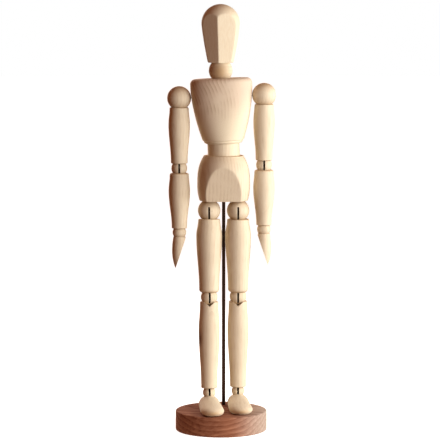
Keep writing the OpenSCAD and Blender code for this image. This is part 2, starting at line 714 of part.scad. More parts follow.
base();
figure() {
    support_rod();
    pelvis();
    hip_link();
    waist_ball();
    waist_pin();
    chest();
    torso_spring();
    shoulder_spring();
    neck_ball();
    neck_pin();
    head();
    for (side = SIDES) translate(lean_shift(side == "left" ? arm_x : -arm_x, shoulder_z)) on_side(side) {
        shoulder_ball(side);
        shoulder_pin();
        upper_arm();
        upper_arm_spring();
        elbow_ball();
        elbow_pin();
        forearm();
        forearm_spring();
        wrist_ball();
        wrist_pin();
        hand();
    }
    for (side = SIDES) on_side(side) {
        hip_ball();
        hip_pin();
        swung(side) thigh();
        swung(side) thigh_spring();
        swung(side) knee_turned(side) knee_ball();
        swung(side) knee_turned(side) knee_pin();
        swung(side) knee_turned(side) shin();
        swung(side) knee_turned(side) shin_spring();
        stepped(side) knee_turned(side) ankle_ball();
        stepped(side) knee_turned(side) ankle_pin();
        stepped(side) foot(side);
    }
}
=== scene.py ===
"""Jointed wooden mannequin: its turned pieces, their finishes and the stage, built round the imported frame."""

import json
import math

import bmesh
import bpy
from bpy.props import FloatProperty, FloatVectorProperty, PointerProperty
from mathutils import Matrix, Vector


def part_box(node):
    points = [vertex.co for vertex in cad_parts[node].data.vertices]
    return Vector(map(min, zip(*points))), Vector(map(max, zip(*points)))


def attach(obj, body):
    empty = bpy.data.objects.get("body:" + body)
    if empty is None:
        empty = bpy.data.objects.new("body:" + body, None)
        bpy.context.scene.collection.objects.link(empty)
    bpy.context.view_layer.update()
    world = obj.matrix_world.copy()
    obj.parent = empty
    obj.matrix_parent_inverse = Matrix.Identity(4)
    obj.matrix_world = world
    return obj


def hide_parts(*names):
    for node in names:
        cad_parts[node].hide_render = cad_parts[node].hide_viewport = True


bl_info = {
    "name": "Jointed Wooden Mannequin",
    "version": (1, 0, 0),
    "blender": (4, 5, 0),
    "location": "3D View > Sidebar > Mannequin",
    "description": "Builds a turned and jointed wooden figure on a round base",
    "category": "Add Mesh",
}

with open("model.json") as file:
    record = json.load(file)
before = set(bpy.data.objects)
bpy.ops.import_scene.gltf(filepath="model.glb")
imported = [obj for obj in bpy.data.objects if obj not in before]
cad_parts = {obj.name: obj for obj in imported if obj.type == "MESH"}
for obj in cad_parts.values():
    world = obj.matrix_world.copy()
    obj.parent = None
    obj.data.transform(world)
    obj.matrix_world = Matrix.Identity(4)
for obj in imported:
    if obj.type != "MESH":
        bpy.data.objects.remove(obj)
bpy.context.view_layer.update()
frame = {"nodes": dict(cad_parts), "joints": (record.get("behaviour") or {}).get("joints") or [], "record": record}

MM = 0.001
SIDES = {"left": 1, "right": -1}
JOINT = {joint["name"]: Vector(joint["pos_m"]) for joint in frame["joints"]}
AXIS = {joint["name"]: Vector(joint["axis"]) for joint in frame["joints"]}
BODY_OF = {node: body for body, nodes in frame["record"]["behaviour"]["bodies"].items() for node in nodes}
SLOT_OF = {part["node"]: part["material_slot"] for part in frame["record"]["subparts"]}
UP = Vector((0, 0, 1))

# Fineness of the meshes: steps round a turned piece, a bore and a pin's hole, along a side, a rounding and a cup, and
# across the base's faces
TURN_STEPS = 96
BORE_STEPS = 48
PIN_STEPS = 24
SIDE_STEPS = 48
ROUND_STEPS = 6
CUP_STEPS = 12
BASE_STEPS = 8
# Points this close are one, and edges sharper than this angle stay crisp
WELD = 1e-7
SHARP_ANGLE = math.radians(32)
# A limit that cuts nothing off, how far a cutter reaches past a face, and the room round a rod or spigot in its bore
FAR = 1.0
PAST = 1 * MM
BORE_GAP = 0.05 * MM
# How the pieces' blanks lie in the log: turn from one to the next, then in millimetres the pith's distance and the
# step along it
BLANK_TURN = 2.4
PITH_AWAY = 38
BLANK_STEP = 53


def length(name, description, millimetres):
    """Property for a length, written in millimetres"""
    return FloatProperty(name=name, description=description, default=millimetres * MM, min=0, precision=5,
                         subtype="DISTANCE", unit="LENGTH")


def share(name, description, default):
    """Property for a share between 0 and 1"""
    return FloatProperty(name=name, description=description, default=default, min=0, max=1, subtype="FACTOR")


def angle(name, description, degrees):
    """Property for an angle, written in degrees"""
    return FloatProperty(name=name, description=description, default=math.radians(degrees), subtype="ANGLE",
                         unit="ROTATION")


def linear(code):
    """Linear colour with alpha from an sRGB hex code"""
    values = [int(code[i:i + 2], 16) / 255 for i in (1, 3, 5)]
    return [v / 12.92 if v <= 0.04045 else ((v + 0.055) / 1.055) ** 2.4 for v in values] + [1.0]


def tint(name, description, code):
    """Property for a colour, written as an sRGB hex code"""
    return FloatVectorProperty(name=name, description=description, default=linear(code), size=4, min=0, max=1,
                               subtype="COLOR")


class MannequinSizes(bpy.types.PropertyGroup):
    """Radii, roundings and cuts of the turned pieces"""

    base_chamfer: length("Base chamfer", "Chamfer on the base's edges", 0.8)
    edge_round: length("Edge rounding", "Rounding of a turned piece's ends", 0.7)
    cup_gap: length("Cup gap", "Clearance between a ball and its cup", 0.2)
    slot_width: length("Slot width", "Width of the saw cut in a ball", 1.3)
    slot_chamfer: length("Slot chamfer", "Broken edge along a saw cut", 0.2)
    slot_end: length("Slot end", "Place behind the pin where a slot that is open in front ends", 2.4)
    groove_depth: length("Groove depth", "Depth of the groove in a knee ball's front", 1.7)
    hip_slot_top: length("Hip slot top", "Height of a hip ball's slot over its pin", 3)
    blind_in: length("Blind pin depth", "Wood left in front of a hidden pin", 2.2)
    slot_wall: length("Slot wall", "Wood left before and behind the hidden slot of the neck and waist balls", 3.5)
    wrist_slot_wall: length("Wrist slot wall", "Wood left beside the hidden slot of a wrist ball", 1.4)
    pin_bore: length("Pin bore", "Radius of the hole for a pin", 0.65)
    hook_room: length("Hook room", "Room for a wire hook round a pin", 2.0)
    turn_bore: length("Turning bore", "Radius of the bore in which a wide hook turns", 3.43)
    turn_room: length("Turning room", "Depth of the turning bore under a ball's centre", 2.75)
    turn_depth: length("Turning depth", "Depth of the turning bore in a limb from the ball's centre", 12)
    spring_bore: length("Spring bore", "Radius of the bore for a limb's spring", 2.3)
    spigot_gap: length("Spigot gap", "Room at the end of a spigot", 0.3)
    bead_bore: length("Bead bore", "Radius of the bore for the shoulder wire's bead", 1.3)
    bead_depth: length("Bead depth", "Depth of the bead's bore from the ball's centre", 4.7)
    wire_bore: length("Wire bore", "Radius of a bore for plain wire", 0.6)
    link_height: length("Link height", "Height of the hip link over the pelvis's bottom", 8)
    link_back: length("Link place", "Distance of the hip link behind the leg axes", 2.05)
    rod_depth: length("Rod depth", "Depth of the rod's bore in the pelvis", 13.3)
    rod_round: length("Rod rounding", "Rounding of the rod's ends", 0.3)

    neck_ball: length("Neck ball", "Radius of the neck ball", 8.5)
    waist_ball: length("Waist ball", "Radius of the waist ball", 12.3)
    shoulder_ball: length("Shoulder ball", "Radius of a shoulder ball", 8.6)
    elbow_ball: length("Elbow ball", "Radius of an elbow ball", 5.7)
    wrist_ball: length("Wrist ball", "Radius of a wrist ball", 4.9)
    hip_ball: length("Hip ball", "Radius of a hip ball", 8.1)
    knee_ball: length("Knee ball", "Radius of a knee ball", 6)
    ankle_ball: length("Ankle ball", "Radius of an ankle ball", 4.6)

    waist_belt: length("Waist belt", "Radius of the waist ball's straight belt", 11.5)
    neck_spigot: length("Neck spigot", "Radius of the neck ball's spigot", 2.5)
    neck_spigot_long: length("Neck spigot length", "Length of the neck ball's spigot", 9)
    waist_spigot: length("Waist spigot", "Radius of the waist ball's spigot", 3.5)
    waist_spigot_long: length("Waist spigot length", "Length of the waist ball's spigot", 7)
    wrist_spigot: length("Wrist spigot", "Radius of a wrist ball's spigot", 1.5)
    wrist_spigot_long: length("Wrist spigot length", "Length of a wrist ball's spigot", 3.5)
    ankle_spigot: length("Ankle spigot", "Radius of an ankle ball's spigot", 1.6)
    ankle_spigot_long: length("Ankle spigot length", "Length of an ankle ball's spigot", 2.6)

    neck_rim: length("Neck rim", "Distance from the neck ball's centre to the chest and the head", 5.6)
    waist_rim: length("Waist rim", "Distance from the waist ball's centre to the pelvis and the chest", 4.4)
    shoulder_rim: length("Shoulder rim", "Distance from a shoulder ball's centre to the upper arm", 6.6)
    elbow_rim: length("Elbow rim", "Distance from an elbow ball's centre to each limb", 3.4)
    wrist_rim: length("Wrist rim", "Distance from a wrist ball's centre to the forearm and the hand", 2.9)
    hip_rim: length("Hip rim", "Distance from a hip ball's centre down to the thigh", 6.2)
    knee_rim: length("Knee rim", "Distance from a knee ball's centre to each limb", 3.2)
    ankle_rim: length("Ankle rim", "Distance from an ankle ball's centre up to the shin", 3.1)

    arm_belly: length("Arm belly", "Largest radius of the upper arm and forearm", 7.7)
    upper_arm_top: length("Upper arm top", "Radius of the upper arm at the shoulder", 6.9)
    upper_arm_end: length("Upper arm end", "Radius of the upper arm above the elbow", 6)
    forearm_top: length("Forearm top", "Radius of the forearm below the elbow", 6.9)
    forearm_end: length("Forearm end", "Radius of the forearm at the wrist", 5.5)
    forearm_round: length("Forearm rounding", "Rounding of the forearm's end below the elbow", 1.6)
    arm_mid: share("Arm middle", "Height share at which an arm piece is widest", 0.7)
    thigh_belly: length("Thigh belly", "Largest radius of the thigh", 9.3)
    thigh_top: length("Thigh top", "Radius of the thigh at the hip", 7.9)
    thigh_end: length("Thigh end", "Radius of the thigh above the knee", 7.2)
    thigh_round: length("Thigh rounding", "Rounding of the thigh's end above the knee", 2.4)
    thigh_mid: share("Thigh middle", "Height share at which the thigh is widest", 0.78)
    shin_belly: length("Shin belly", "Largest radius of the shin", 7.6)
    shin_top: length("Shin top", "Radius of the shin below the knee", 6.6)
    shin_end: length("Shin end", "Radius of the shin above the ankle", 5.8)
    shin_mid: share("Shin middle", "Height share at which the shin is widest", 0.68)
    knot_share: share("Knot place", "Height share of the knot on the right shin", 0.57)
    knot_size: length("Knot size", "Half width of the knot on the right shin", 2.6)
    knot_turn: angle("Knot turn", "Turn of the knot from the figure's right towards its front", 25)
    notch_width: length("Notch width", "Width of the relief notch in the shin's front rim", 7.6)
    notch_depth: length("Notch depth", "Depth of the relief notch", 3.4)

    pelvis_belly: length("Pelvis belly", "Largest radius of the pelvis", 19)
    pelvis_low: length("Pelvis bottom", "Radius of the pelvis at its bottom", 17.6)
    pelvis_top: length("Pelvis top", "Radius of the pelvis at its top", 14.6)
    pelvis_mid: length("Pelvis middle", "Height of the pelvis's widest place over its bottom", 10.5)
    flat_in: length("Flat distance", "Distance of the pelvis's flat from the axis at the bottom", 12.3)
    flat_height: length("Flat height", "Height at which the pelvis's flat runs out", 25)
    flat_soft: length("Flat softness", "Softness of the edge where a flat was sanded", 0.25)

    chest_width: length("Chest half width", "Half width of the chest at its widest", 22.2)
    chest_depth: length("Chest half depth", "Half depth of the chest at its deepest", 15.5)
    chest_waist: length("Chest waist", "Radius of the chest at the waist", 14)
    chest_mid: length("Chest middle", "Height of the chest's widest place over its bottom", 42)
    chest_flare: FloatProperty(name="Chest flare", description="Power by which the chest swells", default=1.8)
    chest_square: share("Chest squareness", "How much squarer than an ellipse the chest grows", 0.3)
    chest_round: length("Chest rounding", "Rounding of the chest's shoulders", 3.5)
    chest_low_round: length("Chest low rounding", "Rounding of the chest's lower edge", 2)

    head_radius: length("Head radius", "Largest radius of the head", 13.7)
    head_neck: length("Head at neck", "Radius of the head at the neck", 9.2)
    head_flare: FloatProperty(name="Head flare", description="Power by which the head narrows to the neck", default=1.3)
    ridge_in: length("Ridge distance", "Distance of the face's ridge from the axis at the neck", 7.9)
    ridge_height: length("Ridge height", "Height at which the face's ridge runs out", 32.8)
    facet_angle: angle("Facet angle", "Angle of each face facet from straight ahead", 25)
    head_look: angle("Head turn", "Turn of the head towards the figure's left at rest", -10)

    hand_length: length("Hand length", "Length of the hand before its tip is rounded", 23.4)
    hand_belly: length("Hand belly", "Largest radius of the hand", 5.3)
    hand_top: length("Hand top", "Radius of the hand at the wrist", 4.4)
    hand_mid: share("Hand middle", "Share of the hand's length at which it is widest", 0.45)
    hand_round: length("Hand rounding", "Rounding of the hand's ends", 0.6)
    fingertip_out: length("Fingertip place", "Distance of the fingertip outwards from the hand's axis", 3)
    palm_top: length("Palm top", "Height of the rim that the palm's cut leaves whole", 1.6)

    ankle_height: length("Ankle height", "Height of the ankle's centre over the sole", 10.9)
    foot_front: length("Foot front", "Length of the foot in front of the ankle", 38)
    foot_back: length("Foot back", "Length of the heel behind the ankle", 7.5)
    toe_width: length("Toe width", "Width of the toe", 16.8)
    toe_length: length("Toe length", "Length of the toe's round end", 12)
    toe_height: length("Toe height", "Height of the toe's crown over the sole", 6.3)
    heel_width: length("Heel width", "Width of the heel", 15.2)
    heel_height: length("Heel height", "Height of the heel's crown over the sole", 8.8)
    instep_height: length("Instep height", "Height of the instep over the sole", 8.8)
    foot_mid: length("Foot middle", "Height of the foot's widest line over the sole", 2.2)
    foot_out: angle("Left foot turn", "Outward turn of the left foot at rest", 4)
    foot_in: angle("Right foot turn", "Inward turn of the right foot at rest", 5)
    instep_round: length("Instep rounding", "Radius of the instep", 6)
    instep_front: length("Instep place", "Distance of the instep in front of the ankle", 2.5)


class MannequinFinish(bpy.types.PropertyGroup):
    """Colours of the woods and the steel, and the sizes of their grain"""

    pale_wood: tint("Pale wood", "Early wood of the figure", "#F0EAD6")
    deep_wood: tint("Deep wood", "Fibres of the figure", "#DCCCAC")
    ring_wood: tint("Late wood", "Thin lines between the figure wood's rings", "#AE9470")
    # Pink wood is the blanks' own blush, and on the chest it is also painted shade
    pink_wood_and_shade: tint("Pink wood", "Blanks with a rosy cast", "#D8C5B2")
    end_wood: tint("End grain", "End grain of the figure, which drinks more wax", "#B99A72")
    knot_wood: tint("Knot", "Brown knot in a shin", "#6B3A1C")
    # Painted shade: the insides of saw cuts, bores and holes are painted almost black
    cut_shade: tint("Saw cut", "Inside of the saw cuts", "#1A120B")
    cut_shade_marks: tint("Saw marks", "Marks inside the saw cuts", "#2A1D12")
    base_pale: tint("Base wood", "Light wood of the base", "#B98468")
    base_deep: tint("Base grain", "Dark grain of the base", "#703F2C")
    # Painted sheen: the base's lit side is painted paler, with its grain still showing
    sheen_pale: tint("Sheen", "Light sapwood on one side of the base", "#CFC2B6")
    sheen_grain: tint("Sapwood grain", "Dark grain of the base's sapwood", "#A39080")
    steel: tint("Steel", "Drawn steel of rod and wire", "#3E2A20")
    steel_dark: tint("Dark steel", "Lines along the draw of rod and wire", "#2A1B14")
    ring_width: length("Ring width", "Width of the figure wood's growth rings", 2.4)
    fibre_width: length("Fibre width", "Width of the figure wood's fibres", 0.5)
    base_ring_width: length("Base ring width", "Width of the base wood's growth rings", 3.4)


class MannequinStage(bpy.types.PropertyGroup):
    """Camera, light and floor"""

    view_turn: angle("View turn", "Azimuth of the camera", 0)
    view_down: angle("View tilt", "Angle at which the camera looks down", 6)
    view_distance: length("View distance", "Distance of the camera from its aim", 1650)
    view_height: length("View height", "Height of the camera's aim", 149.6)
    view_side: length("View side", "Distance of the camera's aim to the left of the base's centre", 0.8)
    view_span: length("View span", "Height of what the camera sees at its aim", 316.4)
    key_turn: angle("Window turn", "Azimuth of the window from straight in front", 61)
    key_rise: angle("Window rise", "Height of the window's middle as an angle", 7)
    key_distance: length("Window distance", "Distance of the window", 550)
    key_width: length("Window width", "Width of the window", 700)
    key_height: length("Window height", "Height of the window", 560)
    key_power: FloatProperty(name="Window power", description="Power of the window's light", default=6.9, min=0,
                             unit="POWER")
    fill_turn: angle("Fill turn", "Azimuth of the lamp behind the figure", 202)
    fill_width: length("Fill width", "Width of the lamp behind the figure", 300)
    fill_power: FloatProperty(name="Fill power", description="Power of the lamp behind the figure", default=3.2, min=0,
                              unit="POWER")
    key_colour: tint("Window colour", "Colour of the window's light", "#FFFDF8")
    fill_colour: tint("Fill colour", "Colour of the lamp's light behind the figure", "#FFF0E0")
    room: tint("Room", "Warm light from the rest of the room", "#7A401B")
    floor: tint("Floor", "Plain pale floor", "#F7F6F4")
    floor_bounce: tint("Floor bounce", "Colour that the floor throws back far from the base", "#754A2C")
    floor_size: length("Floor size", "Radius of the floor", 6000)
    floor_near: length("Floor near", "Distance from the base's middle at which shadow and floor light fade", 50)
    shadow_reach: length("Shadow reach", "Distance from the base's middle at which the floor is plain white", 600)
    bounce_reach: length("Floor light reach", "Distance from the base's middle at which the floor light ends", 130)
    floor_glow: share("Floor glow", "Share of white that the floor keeps in the shadow", 0.9)
    floor_back: share("Floor light", "Strength of the light that the floor near the base throws back", 0.75)
    floor_warm: tint("Floor light colour", "Colour of the light that the floor near the base throws back", "#D8CABC")


def add_node(tree, kind, inputs=(), **settings):
    """Adds a node with its settings, and sets or links its inputs"""
    node = tree.nodes.new(kind)
    for key, value in settings.items():
        setattr(node, key, value)
    for key, value in dict(inputs).items():
        if isinstance(value, bpy.types.NodeSocket):
            tree.links.new(value, node.inputs[key])
        else:
            node.inputs[key].default_value = value
    return node


def new_material(name):
    """Empty material with its shader: gives the material, its tree and its Principled node"""
    material = bpy.data.materials.new(name)
    material.use_nodes = True
    tree = material.node_tree
    tree.nodes.clear()
    shader = add_node(tree, "ShaderNodeBsdfPrincipled")
    add_node(tree, "ShaderNodeOutputMaterial", {"Surface": shader.outputs[0]})
    return material, tree, shader


def growth_rings(tree, width, wander, sway, ragged):
    """A wood's place in its blank in millimetres, its cast, a slow noise, the place wandered by it, and the rings"""
    grain, cast = (add_node(tree, "ShaderNodeAttribute", attribute_name=name).outputs["Vector"]
                   for name in ("grain", "cast"))
    parts = add_node(tree, "ShaderNodeSeparateXYZ", {0: cast}).outputs
    slow = add_node(tree, "ShaderNodeTexNoise", {"Vector": grain, "Scale": 1 / sway, "Detail": 2.0}).outputs
    drift = add_node(tree, "ShaderNodeVectorMath", {0: slow["Color"], 1: (wander, wander, 0)}, operation="MULTIPLY")
    wandered = add_node(tree, "ShaderNodeVectorMath", {0: grain, 1: drift.outputs[0]}, operation="ADD").outputs[0]
    # The wave texture repeats 20 / tau times in a unit
    rings = add_node(tree, "ShaderNodeTexWave",
                     {"Vector": wandered, "Scale": math.tau / 20 / (width / MM), **ragged},
                     wave_type="RINGS", rings_direction="Z", wave_profile="SAW").outputs["Fac"]
    return grain, parts, slow, wandered, rings


def wood_surface(tree, shader, colour, relief, rough, depth, gloss):
    """Gives a wood's shader its colour, a relief of a tenth of a millimetre, roughness by the relief, and gloss"""
    spread = add_node(tree, "ShaderNodeMapRange", {"Value": relief, "To Min": rough[0], "To Max": rough[1]})
    bump = add_node(tree, "ShaderNodeBump", {"Height": relief, "Strength": depth, "Distance": 0.1 * MM})
    for source, socket in ((colour, "Base Color"), (spread.outputs[0], "Roughness"), (bump.outputs[0], "Normal")):
        tree.links.new(source, shader.inputs[socket])
    shader.inputs["Specular IOR Level"].default_value = gloss


def basswood(finish):
    """Basswood, turned and fine-sanded, left bare: cream, thin late-wood lines, fine fibres, darker end grain"""
    material, tree, shader = new_material("bare_basswood")
    # The rings wander by about 2 mm in 30 mm of the blank
    grain, cast, slow, _, rings = growth_rings(tree, finish.ring_width, 5, 30,
                                               {"Distortion": 0.3, "Detail": 2.0, "Detail Scale": 0.3})
    lines = add_node(tree, "ShaderNodeMath", {0: rings, 1: 2.0}, operation="POWER")
    # Some rings are strong and others faint, in patches of about 9 mm
    patch = add_node(tree, "ShaderNodeTexNoise", {"Vector": grain, "Scale": 1 / 9, "Detail": 1.0})
    faint = add_node(tree, "ShaderNodeMapRange", {"Value": patch.outputs["Fac"], "From Min": 0.35, "From Max": 0.65})
    strong = add_node(tree, "ShaderNodeMath", {0: faint.outputs[0], 1: cast["Y"]}, operation="MULTIPLY")
    late = add_node(tree, "ShaderNodeMath", {0: lines.outputs[0], 1: strong.outputs[0]}, operation="MULTIPLY",
                    use_clamp=True)
    # Fibres are forty times as long as wide
    along = add_node(tree, "ShaderNodeVectorMath", {0: grain, 1: (1, 1, 1 / 40)}, operation="MULTIPLY")
    fibre = add_node(tree, "ShaderNodeTexNoise", {"Vector": along.outputs[0], "Scale": MM / finish.fibre_width,
                                                  "Detail": 3.0, "Roughness": 0.6}).outputs["Fac"]
    # Pink blush of the blank, which on the chest also paints shade
    blush_and_shade = add_node(tree, "ShaderNodeMath", {0: slow["Fac"], 1: cast["X"]}, operation="MULTIPLY", use_clamp=True)
    knot = add_node(tree, "ShaderNodeAttribute", attribute_name="knot").outputs["Fac"]
    colour = finish.pale_wood
    for part, tone in ((fibre, finish.deep_wood), (blush_and_shade.outputs[0], finish.pink_wood_and_shade),
                       (late.outputs[0], finish.ring_wood), (cast["Z"], finish.end_wood), (knot, finish.knot_wood)):
        colour = add_node(tree, "ShaderNodeMix", {0: part, 6: colour, 7: tone}, data_type="RGBA").outputs[2]
    wood_surface(tree, shader, colour, fibre, (0.6, 0.8), 0.12, 0.03)
    return material


def steamed_beech(finish):
    """Steamed beech, turned and oiled: red-brown heartwood with long layered streaks, and a paler side that is painted
    sheen
    """
    material, tree, shader = new_material("oiled_steamed_beech")
    grain, cast, _, wandered, rings = growth_rings(tree, finish.base_ring_width, 8, 40,
                                                   {"Distortion": 0.25, "Detail": 1.0, "Detail Scale": 0.15})
    # Streaks are about 1.6 mm wide and sixty times as long, flecks about 0.4 mm wide and seven times as long
    streak, fleck = (
        add_node(tree, "ShaderNodeTexNoise", {
            "Vector": add_node(tree, "ShaderNodeVectorMath", {0: place, 1: (1, 1, 1 / longer)},
                               operation="MULTIPLY").outputs[0],
            "Scale": 1 / wide, "Detail": detail}).outputs["Fac"]
        for place, longer, wide, detail in ((wandered, 60, 1.6, 3.0), (grain, 7, 0.4, 2.0)))
    deep = -0.25
    for pattern, part in ((rings, 0.4), (streak, 1.0), (fleck, 0.35)):
        deep = add_node(tree, "ShaderNodeMath", {0: pattern, 1: part, 2: deep}, operation="MULTIPLY_ADD").outputs[0]
    heartwood, painted_sheen = (
        add_node(tree, "ShaderNodeMix", {0: deep, 6: pale, 7: dark}, data_type="RGBA").outputs[2]
        for pale, dark in ((finish.base_pale, finish.base_deep), (finish.sheen_pale, finish.sheen_grain)))
    # The cast's first part paints the paler sheen over the heartwood on the base's lit side
    colour = add_node(tree, "ShaderNodeMix", {0: cast["X"], 6: heartwood, 7: painted_sheen}, data_type="RGBA").outputs[2]
    wood_surface(tree, shader, colour, fleck, (0.55, 0.75), 0.15, 0.01)
    return material


def saw_cut(finish):
    """Painted shade for the insides of saw cuts, bores and holes: sawn wood painted almost black, with fine saw marks
    """
    material, tree, shader = new_material("painted_shade_saw_cut")
    place = add_node(tree, "ShaderNodeTexCoord").outputs["Object"]
    marks = add_node(tree, "ShaderNodeTexNoise", {"Vector": place, "Scale": 1 / (0.4 * MM), "Detail": 2.0})
    colour = add_node(tree, "ShaderNodeMix", {0: marks.outputs["Fac"], 6: finish.cut_shade, 7: finish.cut_shade_marks},
                      data_type="RGBA")
    tree.links.new(colour.outputs[2], shader.inputs["Base Color"])
    shader.inputs["Roughness"].default_value = 0.95
    shader.inputs["Specular IOR Level"].default_value = 0.1
    return material


def drawn_steel(finish):
    """Drawn steel, oiled and dark: metal with fine lines along the draw and a soft streak of gloss"""
    material, tree, shader = new_material("drawn_steel")
    place = add_node(tree, "ShaderNodeTexCoord").outputs["Object"]
    along = add_node(tree, "ShaderNodeVectorMath", {0: place, 1: (1, 1, 1 / 60)}, operation="MULTIPLY")
    lines = add_node(tree, "ShaderNodeTexNoise",
                     {"Vector": along.outputs[0], "Scale": 1 / (0.25 * MM), "Detail": 3.0})
    dull = add_node(tree, "ShaderNodeMix",
                    {0: lines.outputs["Fac"], 6: finish.steel, 7: finish.steel_dark}, data_type="RGBA")
    tree.links.new(dull.outputs[2], shader.inputs["Base Color"])
    shader.inputs["Metallic"].default_value = 1.0
    rough = add_node(tree, "ShaderNodeMapRange", {"Value": lines.outputs["Fac"], "To Min": 0.24, "To Max": 0.42})
    tree.links.new(rough.outputs[0], shader.inputs["Roughness"])
    return material


FINISHES = {"bare_basswood": basswood, "oiled_steamed_beech": steamed_beech, "painted_shade_saw_cut": saw_cut,
            "drawn_steel": drawn_steel}


def finish_of(name):
    """Material by its name, made at its first use"""
    return bpy.data.materials.get(name) or FINISHES[name](bpy.context.scene.mannequin_finish)


def turn(outline, closed=False, steps=TURN_STEPS):
    """Turned solid about Z from an outline of radius and height"""
    bm = bmesh.new()
    verts = [bm.verts.new((radius, 0, height)) for radius, height in outline]
    pairs = list(zip(verts, verts[1:] + verts[:1]))
    edges = [bm.edges.new(pair) for pair in (pairs if closed else pairs[:-1])]
    bmesh.ops.spin(bm, geom=verts + edges, cent=(0, 0, 0), axis=UP, angle=math.tau, steps=steps, use_merge=True)
    bmesh.ops.remove_doubles(bm, verts=bm.verts, dist=WELD)
    bmesh.ops.recalc_face_normals(bm, faces=bm.faces)
    return bm


def make_object(name, bm, *finishes, place=Matrix()):
    """Linked object from a bmesh, with its place in the mesh"""
    bmesh.ops.transform(bm, matrix=place, verts=bm.verts)
    mesh = bpy.data.meshes.new(name)
    bm.to_mesh(mesh)
    bm.free()
    for finish in finishes:
        mesh.materials.append(finish_of(finish))
    piece = bpy.data.objects.new(name, mesh)
    bpy.context.scene.collection.objects.link(piece)
    return piece


def cut_away(piece, *cutters):
    """Takes the cutters' shapes out of a piece and deletes them"""
    for cutter in cutters:
        cut = piece.modifiers.new(cutter.name, "BOOLEAN")
        cut.operation = "DIFFERENCE"
        cut.solver = "EXACT"
        cut.material_mode = "TRANSFER"
        cut.object = cutter
    shaped = piece.evaluated_get(bpy.context.evaluated_depsgraph_get())
    whole = piece.data
    piece.data = bpy.data.meshes.new_from_object(shaped)
    piece.modifiers.clear()
    bpy.data.meshes.remove(whole)
    for cutter in cutters:
        bpy.data.meshes.remove(cutter.data)


def lay_grain(piece, blank, along=UP, heart=None, blush_and_painted_light=lambda p: 0.25, rings=lambda p: 0.25, ends=0.9, knot=None):
    """Writes each point's place in its blank, z along the pith, and its cast: pink blush and painted light, ring lines
    and end grain
    """
    mesh = piece.data
    points = [vertex.co.copy() for vertex in mesh.vertices]
    middle = sum(points, Vector()) / len(points)
    inside = [(p - middle) / MM for p in points]
    lie = Vector(along).rotation_difference(UP).to_matrix()
    turned = blank * BLANK_TURN
    heart = lie @ Vector(heart) if heart else Vector((math.cos(turned), math.sin(turned), 0)) * PITH_AWAY
    heart.z = BLANK_STEP * blank
    grain = mesh.attributes.new("grain", "FLOAT_VECTOR", "POINT")
    grain.data.foreach_set("vector", [v for p in inside for v in lie @ p - heart])
    cast = mesh.attributes.new("cast", "FLOAT_VECTOR", "POINT")
    facing = [abs((lie @ vertex.normal).z) for vertex in mesh.vertices]
    cast.data.foreach_set("vector", [v for p, end in zip(inside, facing)
                                     for v in (blush_and_painted_light(p), rings(p), ends * end ** 2)])
    knots = [0.0] * len(points)
    if knot:
        place, wide, long = knot
        away = [p - place for p in points]
        knots = [math.exp(-(d.x ** 2 + d.y ** 2) / wide ** 2 - d.z ** 2 / long ** 2) for d in away]
    mesh.attributes.new("knot", "FLOAT", "POINT").data.foreach_set("value", knots)


def hand_over(piece, node):
    """Smooth shading with crisp edges, then the node's body for the piece, which keeps its place, and the node hidden
    """
    piece.data.shade_smooth()
    piece.data.set_sharp_from_angle(angle=SHARP_ANGLE)
    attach(piece, BODY_OF[node])
    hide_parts(node)
    return piece


def upright(low, high=None, pin=None):
    """Matrix with its origin at low, its Z towards high and its X along a pin"""
    rise = (high - low).normalized() if high else UP
    lie = UP.rotation_difference(rise).to_matrix()
    if pin:
        across = (pin - rise * pin.dot(rise)).normalized() * math.copysign(1, pin.x)
        lie = Matrix((across, rise.cross(across), rise)).transposed()
    return Matrix.Translation(low) @ lie.to_4x4()


def round_off(radius, amount, top=None):
    """Quarter circle that rounds an end at height 0, or one that ends at height top"""
    angles = [math.pi / 2 * i / ROUND_STEPS for i in range(ROUND_STEPS + 1)]
    points = [(radius - amount * (1 - math.sin(a)), amount * (1 - math.cos(a))) for a in angles]
    return points if top is None else [(r, top - h) for r, h in reversed(points)]


def turned_side(radius_at, height, low, high, steps=SIDE_STEPS):
    """Side of a turned piece between two rounded ends, from its radius by share of height"""
    side = [(radius_at(i / steps), low + (height - low - high) * i / steps) for i in range(1, steps)]
    return round_off(radius_at(0), low) + side + round_off(radius_at(1), high, height)


def ease(t):
    """Smooth step from 0 to 1"""
    return (1 - math.cos(math.pi * t)) / 2


def ramp(value, start, end):
    """Smooth step of a value from 0 at start to 1 at end"""
    return ease(min(max((value - start) / (end - start), 0), 1))


def belly(low, high, widest, middle):
    """Radius by share of height of a limb that is widest at a share of its height"""
    def radius_at(t):
        if t < middle:
            return low + (widest - low) * ease(t / middle)
        return high + (widest - high) * ease((1 - t) / (1 - middle))
    return radius_at


def cup(radius, centre, bore, side, up):
    """Outline of a cup from the last point of a side to a bore; up is 1 in a top end and -1 in a bottom end"""
    rim = side[-1] if up > 0 else side[0]
    plane = rim[1] - centre
    flat_rim = math.sqrt(max(radius ** 2 - plane ** 2, 0))
    start = math.atan2(min(rim[0], max(flat_rim, bore)), abs(plane))
    end = math.asin(bore / radius)
    angles = [start + (end - start) * i / CUP_STEPS for i in range(CUP_STEPS + 1)]
    return [(radius * math.sin(a), centre - up * radius * math.cos(a)) for a in angles]


def outside(side, radius, centre):
    """The points of a side that a cup leaves standing"""
    return [p for p in side if math.hypot(p[0], p[1] - centre) > radius]


def pipe(sizes, side, height, low_cup, high_cup, turning):
    """Turned limb: its side, a cup in each end and a bore for its spring, wider below where a hook turns"""
    low_radius, low_rim = low_cup
    high_radius, high_rim = high_cup
    side = outside(outside(side, low_radius, -low_rim), high_radius, height + high_rim)
    top = cup(high_radius, height + high_rim, sizes.spring_bore, side, 1)
    low_bore = sizes.turn_bore if turning else sizes.spring_bore
    bottom = cup(low_radius, -low_rim, low_bore, side, -1)
    step = []
    if turning:
        step = [(r, sizes.turn_depth - low_rim) for r in (sizes.spring_bore, sizes.turn_bore)]
    return turn(side + top + step + bottom[::-1], closed=True)


